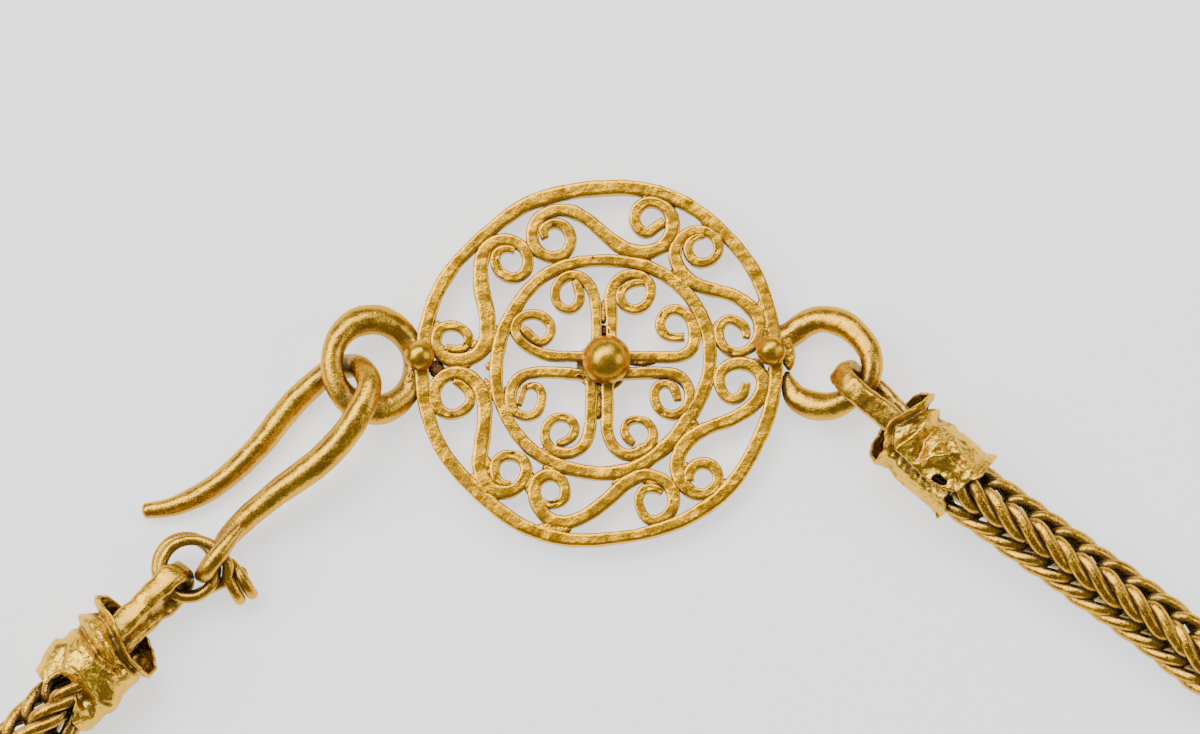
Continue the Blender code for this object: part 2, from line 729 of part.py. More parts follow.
def even_steps(path, pitch):
    """Points along a path, the same distance apart and as near the pitch as fits a whole number of steps."""
    lengths = [0]
    for near, far in zip(path, path[1:]):
        lengths.append(lengths[-1] + (far - near).length)
    count = round(lengths[-1] / pitch)
    points = []
    span = 0
    for step in range(count + 1):
        target = lengths[-1] * step / count
        while span < len(path) - 2 and lengths[span + 1] < target:
            span += 1
        share = (target - lengths[span]) / (lengths[span + 1] - lengths[span])
        points.append(path[span].lerp(path[span + 1], share))
    return points


def make_chain():
    """The chain as one body on its corner: four ridges that swell in turn, with valleys between."""
    points = even_steps(chain_route(), LINK_PITCH)
    shape = bmesh.new()
    loops = []
    for index, point in enumerate(points):
        ahead = points[min(index + 1, len(points) - 1)] - points[max(index - 1, 0)]
        level = Vector((0, 0, 1)).cross(ahead).normalized()
        up = ahead.normalized().cross(level)
        verts = []
        for side in range(CHAIN_SIDES):
            turn = math.tau * side / CHAIN_SIDES
            if side % 2:
                reach = CHAIN_RADIUS * CHAIN_VALLEY
            else:
                reach = CHAIN_RADIUS * (CHAIN_WAIST if (index + side // 2) % 2 else 1)
            verts.append(shape.verts.new(point + (level * math.cos(turn) + up * math.sin(turn)) * reach))
        loops.append([shape.edges.new((a, b)) for a, b in zip(verts, verts[1:] + verts[:1])])
    for near, far in zip(loops, loops[1:]):
        bmesh.ops.bridge_loops(shape, edges=near + far)
    bmesh.ops.holes_fill(shape, edges=[edge for edge in shape.edges if edge.is_boundary])
    bmesh.ops.recalc_face_normals(shape, faces=shape.faces)
    data = bpy.data.meshes.new("chain")
    shape.to_mesh(data)
    shape.free()
    add_object("chain", data, "chain", necklace)


def make_chain_ends():
    """On each side a sleeve, and the eye that joins it to the wire ring or to the open loop."""
    make_sleeve("left", LEFT_SLEEVE_PHASE)
    make_sleeve("right", RIGHT_SLEEVE_PHASE)
    wires = (link_point(EYE_SIDE) + link_point(EYE_SIDE + 360)) / 2
    make_eye("left", wires, LINK_WIRE + link_pitch() / 2, LEFT_EYE_ROLL)
    make_eye("right", right_ring_point(RIGHT_EYE_SIDE), RING_WIRE, RIGHT_EYE_ROLL)


for old in list(bpy.data.objects):
    bpy.data.objects.remove(old)
necklace = fresh_collection("loop_in_loop_chain_necklace")
cutters = fresh_collection("cutters")

make_bands()
make_border_scrolls()
make_cross_scrolls()
make_boss_and_beads()
make_left_ring()
make_right_ring()
make_hook()
make_connecting_ring()
make_chain_ends()
make_chain()
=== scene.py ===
# %% [markdown]
# # A gold loop-in-loop chain necklace
#
# The necklace lies on a pale table. A round openwork medallion joins its two ends: a swan-neck hook holds
# the loop on the left, and an open loop on the right holds the other end. Each end of the chain is gripped
# by a sleeve of crumpled sheet gold.
#
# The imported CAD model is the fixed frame. It already has every piece in its place, but with few faces, so
# most cells below make a finer piece in the same place and let it stand for the CAD one.

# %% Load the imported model
import math
import random
from collections import namedtuple

import bmesh
import bpy
from mathutils import Matrix, Vector, noise


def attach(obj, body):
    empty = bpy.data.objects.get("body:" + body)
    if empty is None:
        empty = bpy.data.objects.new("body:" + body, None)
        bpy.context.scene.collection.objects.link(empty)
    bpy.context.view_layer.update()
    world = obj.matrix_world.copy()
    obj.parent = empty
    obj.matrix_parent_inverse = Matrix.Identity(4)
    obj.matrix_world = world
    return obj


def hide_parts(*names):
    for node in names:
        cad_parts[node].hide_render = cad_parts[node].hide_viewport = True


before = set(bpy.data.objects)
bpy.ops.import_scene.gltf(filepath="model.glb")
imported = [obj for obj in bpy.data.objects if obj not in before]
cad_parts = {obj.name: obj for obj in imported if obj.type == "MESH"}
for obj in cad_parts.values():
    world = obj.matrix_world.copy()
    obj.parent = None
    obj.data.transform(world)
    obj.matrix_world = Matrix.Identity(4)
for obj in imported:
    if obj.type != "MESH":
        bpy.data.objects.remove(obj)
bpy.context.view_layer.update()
MM = 0.001
UP = Vector((0, 0, 1))

# %% [markdown]
# ## Camera
#
# The photograph looks down almost straight, from a little way towards the chain. A photographer would use a
# long lens for that, and so does this camera: from 0.9 m away, nearly parallel lines keep the circles
# round. The picture shows a strip 80 mm wide, 15 pixels to the millimetre, with the medallion close to its
# middle.

# %% Camera
PHOTO_SIZE = (1200, 734)
PIXEL = MM / 15
MEDALLION_PIXEL = (600.4, 361.6)
MEDALLION_TOP = 1.8 * MM
ELEVATION = 83
CAMERA_DISTANCE = 0.9
tilt = math.radians(ELEVATION)


def at_pixel(across, down, height=MEDALLION_TOP):
    """The point of the model under a pixel of the photograph, at this height."""
    x = (across - MEDALLION_PIXEL[0]) * PIXEL
    up = (MEDALLION_PIXEL[1] - down) * PIXEL
    return Vector((x, (up - (height - MEDALLION_TOP) * math.cos(tilt)) / math.sin(tilt), height))


aim = at_pixel(PHOTO_SIZE[0] / 2, PHOTO_SIZE[1] / 2)
camera = bpy.data.objects.new("camera", bpy.data.cameras.new("camera"))
bpy.context.scene.collection.objects.link(camera)
camera.location = aim + CAMERA_DISTANCE * Vector((0, -math.cos(tilt), math.sin(tilt)))
camera.rotation_euler = (math.pi / 2 - tilt, 0, 0)
camera.data.sensor_width = 36
camera.data.lens = camera.data.sensor_width * CAMERA_DISTANCE / (PHOTO_SIZE[0] * PIXEL)
camera.data.clip_end = 5
bpy.context.scene.camera = camera
print("lens", round(camera.data.lens), "mm")

# %% [markdown]
# ## Words for shader maths
#
# A material is a graph of nodes. Written out link by link it is hard to read, so a socket is wrapped in a
# small class that knows plus, minus and times. Then `1 - grime` adds a Math node by itself. Every other
# node comes from one method, which takes the node's type, its settings and what goes into its sockets.

# %% Words for shader maths


class Value:
    """A number that varies over a surface: the output socket of a node."""

    def __init__(self, finish, socket):
        self.finish = finish
        self.socket = socket

    def math(self, operation, first, second):
        return self.finish.node("ShaderNodeMath", {"operation": operation}, {0: first, 1: second})

    def __add__(self, other):
        return self.math("ADD", self, other)

    def __radd__(self, other):
        return self.math("ADD", other, self)

    def __sub__(self, other):
        return self.math("SUBTRACT", self, other)

    def __rsub__(self, other):
        return self.math("SUBTRACT", other, self)

    def __mul__(self, other):
        return self.math("MULTIPLY", self, other)

    def __rmul__(self, other):
        return self.math("MULTIPLY", other, self)


class Finish:
    """A material while it is being made."""

    def __init__(self, name):
        self.material = bpy.data.materials.new(name)
        self.material.use_nodes = True
        self.tree = self.material.node_tree
        self.shader = self.tree.nodes["Principled BSDF"]
        coordinates = self.node("ShaderNodeTexCoord", output="Object")
        in_mm = {0: coordinates, "Scale": 1 / MM}
        self.place = self.node("ShaderNodeVectorMath", {"operation": "SCALE"}, in_mm)

    def node(self, kind, settings=None, inputs=None, output=0):
        """Adds a node: its settings first, then the value or link of each socket."""
        made = self.tree.nodes.new(kind)
        for name, setting in (settings or {}).items():
            setattr(made, name, setting)
        self.feed(made, inputs or {})
        return Value(self, made.outputs[output])

    def feed(self, node, inputs):
        """Puts a value into each of these sockets, or links one to it."""
        for name, value in inputs.items():
            if isinstance(value, Value):
                self.tree.links.new(value.socket, node.inputs[name])
            else:
                node.inputs[name].default_value = value

    def clouds(self, per_mm, detail=2):
        """Soft patches, this many to the millimetre."""
        return self.node("ShaderNodeTexNoise", {}, {"Vector": self.place, "Scale": per_mm, "Detail": detail})

    def between(self, value, low, high, smooth=True):
        """0 below low, 1 above high."""
        settings = {"interpolation_type": "SMOOTHSTEP" if smooth else "LINEAR"}
        return self.node("ShaderNodeMapRange", settings, {"Value": value, "From Min": low, "From Max": high})

    def mix(self, share, first, second):
        """The first colour, and the second where share is 1. A Mix node takes colours at sockets 6 and 7."""
        inputs = {"Factor": share}
        for socket, colour in ((6, first), (7, second)):
            inputs[socket] = (*colour, 1) if isinstance(colour, tuple) else colour
        return self.node("ShaderNodeMix", {"data_type": "RGBA"}, inputs, output=2)


# %% [markdown]
# ## Old gold
#
# Buried gold doesn't tarnish, but it is never one colour. Its hollows keep brown earth, and the gold in them
# is painted a deeper tone as shade, so the high places look brighter. The whole surface has fine pits and
# scratches. An image of real gold could be wrapped round each piece, but noise in Object coordinates needs no
# unwrapping and has the same grain on every piece.
#
# Ambient Occlusion tells how much of the sky a place sees. A close one finds the corners, where earth stays
# and where the gold is painted deeper as shade. A wide one finds the places that see little of the room,
# under and between the pieces, and paints shade there: a duller, greener brown, which also keeps gold seen in
# gold from turning too orange.

# %% What wear leaves
PITS = 7
PIT_PATCHES = 1.6
SEAM_WIDTH = 0.09
SEAM_DRIFT = 0.35


def shut_in(gold, size):
    """How much of the sky a place doesn't see, because of metal this close to it."""
    return 1 - gold.node("ShaderNodeAmbientOcclusion", {"samples": 8}, {"Distance": size}, output="AO")


def worn_pits(gold):
    """Small pits, in some patches of the surface only."""
    pits = gold.node("ShaderNodeTexVoronoi", {"feature": "F1"}, {"Vector": gold.place, "Scale": PITS})
    return gold.between(pits, 0.3, 0.08) * gold.between(gold.clouds(PIT_PATCHES), 0.42, 0.62)


def wire_seam(gold):
    """The dark line that wavers along a wire made of a rolled strip, from the place noted on each vertex."""
    wire = gold.node("ShaderNodeAttribute", {"attribute_name": "wire"}, output="Vector")
    around = gold.node("ShaderNodeSeparateXYZ", {}, {"Vector": wire}, output="X")
    drifted = around + (gold.clouds(SEAM_DRIFT) - 0.5)
    return gold.between(gold.node("ShaderNodeMath", {"operation": "ABSOLUTE"}, {0: drifted}), SEAM_WIDTH, 0.0)


print("pits:", PITS, "per mm")

# %% [markdown]
# One recipe makes all six finishes. Noise at three sizes, so many patches to the millimetre, breaks up the
# colour and the gloss, earth is duller and less metallic than gold, and a Bump node carries the grain,
# because it is far too small to model.

# %% Old gold
BRIGHT = (0.99, 0.52, 0.004)
DEEP = (0.60, 0.27, 0.02)
EARTH = (0.10, 0.052, 0.03)
# The duller, greener brown of painted shade.
PAINTED_SHADE = (0.29, 0.22, 0.08)
PATCHES = 0.8
MOTTLE = 5
SPECKLE = 11
DENTS = 2.2
GRAIN_DEPTH = 0.12 * MM
HOLLOW_SIZE = 0.7 * MM
SHADE_SIZE = 3 * MM


def old_gold(name, gloss=0.2, grain=0.5, earth=0.8, seams=0, shade=0.8, bright=BRIGHT, deep=DEEP):
    """A worn gold with painted shade. Gloss is its roughness where it is rubbed, grain and earth are how much
    of each shows, and shade is how strongly the places that see little of the room are painted darker.
    """
    gold = Finish(name)
    patches = gold.clouds(PATCHES, detail=4)
    mottle = gold.clouds(MOTTLE, detail=3)
    speckle = gold.clouds(SPECKLE, detail=2)
    pitted = worn_pits(gold)
    seam = wire_seam(gold) if seams else 0
    hollow = gold.between(shut_in(gold, HOLLOW_SIZE), 0.25, 0.8)
    soil = hollow * gold.between(patches + mottle, 0.75, 1.15) * earth + pitted * 0.5 + seam * seams
    soil = gold.between(soil, 0.0, 1.0, smooth=False)
    # Hollows turn towards the deep colour: painted shade, on top of the real earth that the soil mask puts in
    # some of them.
    tone = gold.between(patches * 0.5 + mottle * 0.3 + speckle * 0.45, 0.45, 0.8) * (1 - 0.6 * hollow)
    # Painted shade: where little of the room is seen, the colour turns towards a duller, greener brown.
    painted_shade_mask = gold.between(shut_in(gold, SHADE_SIZE), 0.1, 0.6) * shade
    colour = gold.mix(painted_shade_mask, gold.mix(tone, deep, bright), PAINTED_SHADE)
    rough = 0.35 + gold.between(patches, 0.44, 0.6)
    relief = gold.clouds(DENTS) * 0.5 + (mottle * 0.5 + speckle * 0.4) * rough - pitted * 0.8 - 0.6 * seam
    bump = gold.node("ShaderNodeBump", {}, {"Height": relief, "Distance": GRAIN_DEPTH, "Strength": grain})
    gold.feed(gold.shader, {"Base Color": gold.mix(soil, colour, EARTH), "Normal": bump})
    gold.feed(gold.shader, {"Roughness": gloss + 0.12 * mottle + 0.1 * speckle + 0.4 * soil})
    gold.feed(gold.shader, {"Metallic": 1 - 0.9 * soil, "Specular Tint": (1, 0.85, 0.5, 1)})
    gold.feed(gold.shader, {"Coat Weight": 0.1, "Coat Roughness": 0.4})
    return gold.material


strip_gold = old_gold("old gold strip", gloss=0.18, grain=0.27, earth=0.9, deep=(0.72, 0.34, 0.015))
solder_gold = old_gold("grainy solder", gloss=0.15, grain=0.9, earth=0.9)
wire_gold = old_gold(
    "old gold wire", gloss=0.17, grain=0.34, bright=(0.76, 0.42, 0.02), deep=(0.5, 0.26, 0.03)
)
sheet_gold = old_gold(
    "old gold sheet", gloss=0.17, grain=0.5, earth=0.4, bright=(0.93, 0.55, 0.03), deep=(0.6, 0.34, 0.04)
)
bead_gold = old_gold(
    "polished gold", grain=0.16, earth=0.5, bright=(0.80, 0.44, 0.02), deep=(0.52, 0.28, 0.02)
)
chain_gold = old_gold(
    "old gold chain", gloss=0.15, grain=0.4, earth=1.9, seams=0.6, shade=1, bright=(0.79, 0.43, 0.02),
    deep=(0.48, 0.24, 0.03),
)
print("finishes:", [material.name for material in bpy.data.materials if material.use_nodes])

# %% [markdown]
# ## Carrying a section along a path
#
# Nearly everything here was drawn or cut into a long thin strip or wire, and then bent. In Blender that is
# a sweep: a small ring of edges is extruded from stop to stop of a path. A curve object could do it too,
# but with bmesh the ring can change its size on the way, and each vertex can remember how far round and
# along it is.

# %% Paths


def at(degrees, distance):
    """The point in plan at this bearing and distance from the origin."""
    turn = math.radians(degrees)
    return Vector((distance * math.cos(turn), distance * math.sin(turn)))


def bearing_of(point):
    return math.degrees(math.atan2(point[1], point[0]))


def smooth_through(points, per_span, closed=False):
    """A Catmull-Rom curve through the points, which may have any number of coordinates."""
    count = len(points)
    if closed:
        padded = [points[-1], *points, points[0], points[1]]
    else:
        padded = [points[0], *points, points[-1]]
    path = []
    for before, start, end, after in zip(padded, padded[1:], padded[2:], padded[3:]):
        for step in range(per_span):
            t = step / per_span
            spot = []
            for a, b, c, d in zip(before, start, end, after):
                bend = (2 * a - 5 * b + 4 * c - d) * t**2 + (3 * b - a - 3 * c + d) * t**3
                spot.append(b + ((c - a) * t + bend) / 2)
            path.append(spot)
    if not closed:
        path.append(list(points[-1]))
    return path


def distances(path):
    """How far along the path each point is."""
    run = [0]
    for near, far in zip(path, path[1:]):
        run.append(run[-1] + (Vector(far[:3]) - Vector(near[:3])).length)
    return run


def evenly(path, step, closed=False):
    """The same path with its points this far apart."""
    path = [Vector(point) for point in path]
    if closed:
        path.append(path[0])
    run = distances(path)
    count = max(2, round(run[-1] / step))
    points = []
    span = 0
    for index in range(count if closed else count + 1):
        target = run[-1] * index / count
        while span < len(path) - 2 and run[span + 1] < target:
            span += 1
        share = (target - run[span]) / max(run[span + 1] - run[span], 1e-9)
        points.append(path[span].lerp(path[span + 1], share))
    return points


print("bearing 135 degrees:", tuple(round(part, 2) for part in at(135, 1)))

# %% [markdown]
# A path has a size at each point, so a wire can thin out or a strip can widen along it. At each stop the
# section is turned square to the path and kept upright, or it would twist in the bends. The hammer comes
# last: noise that pushes each vertex in or out a little, as tools and wear leave a surface.

# %% Sweeps
TABLE_GAP = 0.01 * MM


def stops_along(path, closed=False, wide=None):
    """A matrix for each point (x, y, z, size), which stands a flat section square on the path there."""
    stops = []
    side = None
    last = len(path) - 1
    for index, point in enumerate(path):
        before = path[index - 1] if index or closed else path[0]
        after = path[(index + 1) % len(path)] if index < last or closed else path[last]
        way = (Vector(after[:3]) - Vector(before[:3])).normalized()
        side = UP.cross(way) if side is None else side - way * side.dot(way)
        side.normalize()
        rise = way.cross(side)
        turn = Matrix((side, rise, way)).transposed().to_4x4()
        size = point[3]
        spread = wide[index] if wide else size
        stops.append(Matrix.Translation(point[:3]) @ turn @ Matrix.Diagonal((spread, size, 1, 1)))
    return stops


def sweep(shape, ring, stops, closed=False):
    """Extrudes a ring of edges from stop to stop, and closes it at the ends or end to end."""
    memory = shape.verts.layers.float_vector.get("wire")
    corners = list({vert for edge in ring for vert in edge.verts})
    bmesh.ops.transform(shape, matrix=stops[0], verts=corners)
    first = ring
    far = 0
    for before, after in zip(stops, stops[1:]):
        made = bmesh.ops.extrude_edge_only(shape, edges=ring)["geom"]
        ring = [part for part in made if isinstance(part, bmesh.types.BMEdge)]
        corners = [part for part in made if isinstance(part, bmesh.types.BMVert)]
        bmesh.ops.transform(shape, matrix=after @ before.inverted(), verts=corners)
        far += (after.translation - before.translation).length
        if memory:
            for vert in corners:
                vert[memory].z = far / MM
    if closed:
        bmesh.ops.bridge_loops(shape, edges=first + ring)
    else:
        bmesh.ops.contextual_create(shape, geom=first)
        bmesh.ops.contextual_create(shape, geom=ring)


def hammer(shape, grain, depth, seed=0, verts=None):
    """Pushes the surface in and out a little, as hand tools leave it: bumps this wide and this deep."""
    bmesh.ops.recalc_face_normals(shape, faces=shape.faces)
    shape.normal_update()
    moves = []
    for vert in verts or shape.verts:
        push = noise.noise(vert.co / grain + Vector((seed, seed * 1.7, 0)))
        moves.append((vert, vert.normal * push * depth))
    for vert, move in moves:
        vert.co += move


def finish_piece(shape, name, material, slot, *nodes):
    """Makes the object, parents it to the root, and hides the CAD pieces that it stands for. Nothing dips
    into the table.
    """
    for vert in shape.verts:
        vert.co.z = max(vert.co.z, TABLE_GAP)
    bmesh.ops.recalc_face_normals(shape, faces=shape.faces)
    data = bpy.data.meshes.new(name)
    shape.to_mesh(data)
    shape.free()
    data.shade_smooth()
    data.materials.append(material)
    piece = bpy.data.objects.new(name, data)
    bpy.context.scene.collection.objects.link(piece)
    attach(piece, "root")
    if nodes:
        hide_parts(*nodes)
    print(name, len(data.polygons), "faces")
    return piece


# %% [markdown]
# ## The strip
#
# The medallion is made of strips of gold standing on edge. Their tops were filed flat after soldering, and
# years of wear have softened the corners. So the section is a rectangle whose corners are bevelled, with a
# few extra points across the top to let the hammer marks show.

# %% The strip and its section
STRIP_BASE = 0.5 * MM
STRIP_DEPTH = 1.3 * MM
STRIP_TOP = STRIP_BASE + STRIP_DEPTH
STRIP_STEP = 0.11 * MM
STRIP_WIDTH = 0.8 * MM
CORNER_WEAR = 0.09 * MM
CORNER_LEAN = 2.2
SIDE_WAVER = 0.05
WAVER_LENGTH = 0.9 * MM
STRIP_DENTS = ((0.9 * MM, 0.0392 * MM), (0.35 * MM, 0.0196 * MM))


def strip_section(shape, width, depth, wear):
    """A rectangle with worn corners, as a ring of edges. The wear is wider than it is deep."""
    width /= CORNER_LEAN
    bmesh.ops.create_grid(shape, x_segments=1, y_segments=1, size=0.5)
    bmesh.ops.scale(shape, vec=(width, depth, 1), verts=shape.verts)
    long_edges = [edge for edge in shape.edges if abs(edge.verts[0].co.y - edge.verts[1].co.y) < depth / 2]
    bmesh.ops.subdivide_edges(shape, edges=long_edges, cuts=3)
    corners = [vert for vert in shape.verts if abs(abs(vert.co.x) - width / 2) < wear / 4]
    bmesh.ops.bevel(
        shape, geom=corners, offset=wear, affect="VERTICES", segments=3, profile=0.5, material=-1,
        offset_type="OFFSET",
    )
    inner = [edge for edge in shape.edges if not edge.is_boundary]
    bmesh.ops.delete(shape, geom=[*inner, *shape.faces], context="EDGES_FACES")
    bmesh.ops.scale(shape, vec=(CORNER_LEAN, 1, 1), verts=shape.verts)
    return list(shape.edges)


def strip_piece(name, plan, seed, closed=False):
    """One strip on edge along a plan path of points (x, y, width). Its sides waver, as cut by hand."""
    height = STRIP_BASE + STRIP_DEPTH / 2
    points = evenly(plan, STRIP_STEP, closed)
    path = [(point.x, point.y, height, 1) for point in points]
    wide = []
    for point in points:
        waver = noise.noise(Vector((point.x, point.y, seed * MM)) / WAVER_LENGTH)
        wide.append(point.z * (1 + SIDE_WAVER * waver))
    shape = bmesh.new()
    ring = strip_section(shape, STRIP_WIDTH, STRIP_DEPTH, CORNER_WEAR)
    bmesh.ops.scale(shape, vec=(1 / STRIP_WIDTH, 1, 1), verts=shape.verts)
    sweep(shape, ring, stops_along(path, closed, wide), closed)
    for later, (grain, depth) in enumerate(STRIP_DENTS):
        hammer(shape, grain, depth, seed + 5 * later)
    return finish_piece(shape, name, strip_gold, "gold_strip", name)


print("strips stand from", round(STRIP_BASE / MM, 2), "to", round(STRIP_TOP / MM, 2), "mm")

# %% [markdown]
# ## Reading strips off the photograph
#
# No two scrolls are alike, and no formula draws their dents. So each strip's middle line is read off the
# photograph: a row of places with the strip's width there, all three in pixels. The camera looks a little
# from the front, so a strip that runs from left to right also shows its front side, and half of that comes
# off.

# %% From the photograph to a plan
FRONT_SIDE = STRIP_DEPTH * math.cos(tilt)
OUTLINE = 1.2
NUDGE = (0.4, 0.5)
PER_SPAN = 8
print("the front side takes up", round(FRONT_SIDE / PIXEL, 1), "pixels")


def plan_of(route, closed=False):
    """Points (x, y, width) in metres along a strip whose middle line was read off the photograph."""
    line = smooth_through(route, PER_SPAN, closed)
    plan = []
    for index, (across, down, wide) in enumerate(line):
        before = line[index - 1] if index or closed else line[0]
        after = line[(index + 1) % len(line)] if index < len(line) - 1 or closed else line[-1]
        level = abs(after[0] - before[0]) / math.hypot(after[0] - before[0], after[1] - before[1])
        spot = at_pixel(across + NUDGE[0], down + NUDGE[1])
        plan.append((spot.x, spot.y, (wide + OUTLINE) * PIXEL - level * FRONT_SIDE / 2))
    return plan


# %% [markdown]
# ## The two bands
#
# The bands look like circles at first. The outer one has blunt corners where it was bent, and the inner one
# was pushed in at its lower right when the scrolls were soldered to it.

# %% The two bands
BAND_ROUTES = {
    "outer_band": (
        (775.5, 352, 13), (773.5, 330, 12.5), (769, 309, 12.5), (762.5, 289, 12.5), (754.5, 271, 13),
        (743.5, 254.5, 12.5), (730.5, 239, 12.5), (715, 223.5, 12.5), (697, 209.5, 13), (677, 198, 13.5),
        (654, 190, 14), (629, 186.3, 14), (602, 186.3, 14.5), (575, 189, 14.5), (549, 194.5, 14.5),
        (524, 204, 14), (503, 218, 13), (484, 233.5, 12), (464.5, 252, 12), (448, 272, 12.5),
        (436, 293, 13), (428, 315, 13), (424, 334, 13), (421.5, 355, 13), (421.5, 377, 13.5),
        (424, 399, 13.5), (429.5, 420, 13), (436, 438, 13), (445, 453.5, 13), (454.5, 466, 13),
        (466, 479, 13.5), (481, 493.5, 14), (499, 509, 14), (519, 522.5, 13.5), (541, 532, 13),
        (565, 537.5, 13), (590, 538.5, 12.5), (614, 536.5, 11.5), (638, 533, 11.5), (661, 527, 12.5),
        (683, 518.5, 13), (703, 507, 13.5), (721, 493.5, 13.5), (736.5, 476, 13.5), (749, 456.5, 13),
        (759, 436.5, 13.5), (767.5, 415.5, 13.5), (773, 394, 13), (775.5, 373, 13),
    ),
    "inner_band": (
        (600, 259, 11), (580, 260.5, 11), (561, 265.5, 11.5), (543, 275, 12), (528, 288.5, 12.5),
        (516.5, 304, 12.5), (507, 320, 12.5), (500.5, 338, 12.5), (496.5, 357, 12.5), (495.5, 377, 12.5),
        (498.5, 396, 12), (505.5, 414, 11.5), (515.5, 431, 11.5), (529, 446, 12), (545, 457.5, 12.5),
        (563, 465.5, 13), (582, 470, 13.5), (601, 472, 13.5), (620, 470.5, 13.5), (638, 464.5, 13),
        (655, 454, 13), (671, 439.5, 14), (684, 422.5, 14), (695, 406, 14), (703, 390, 13),
        (708, 373, 12.5), (709.5, 356, 12.5), (708.5, 338, 12.5), (704, 321, 12.5), (696, 305, 12.5),
        (686, 291.5, 12.5), (673, 279.5, 12.5), (657, 269.5, 12), (640, 263, 11.5), (620, 260, 11),
    ),
}

for seed, (name, route) in enumerate(BAND_ROUTES.items(), 1):
    strip_piece(name, plan_of(route, closed=True), seed, closed=True)

# %% [markdown]
# ## The border scrolls
#
# Six S-scrolls fill the border. Each is one strip whose two ends are curled up into eyes. In most eyes the
# tip comes round until it lies against the strip again, so the eye looks like a closed ring with a thin
# slit.

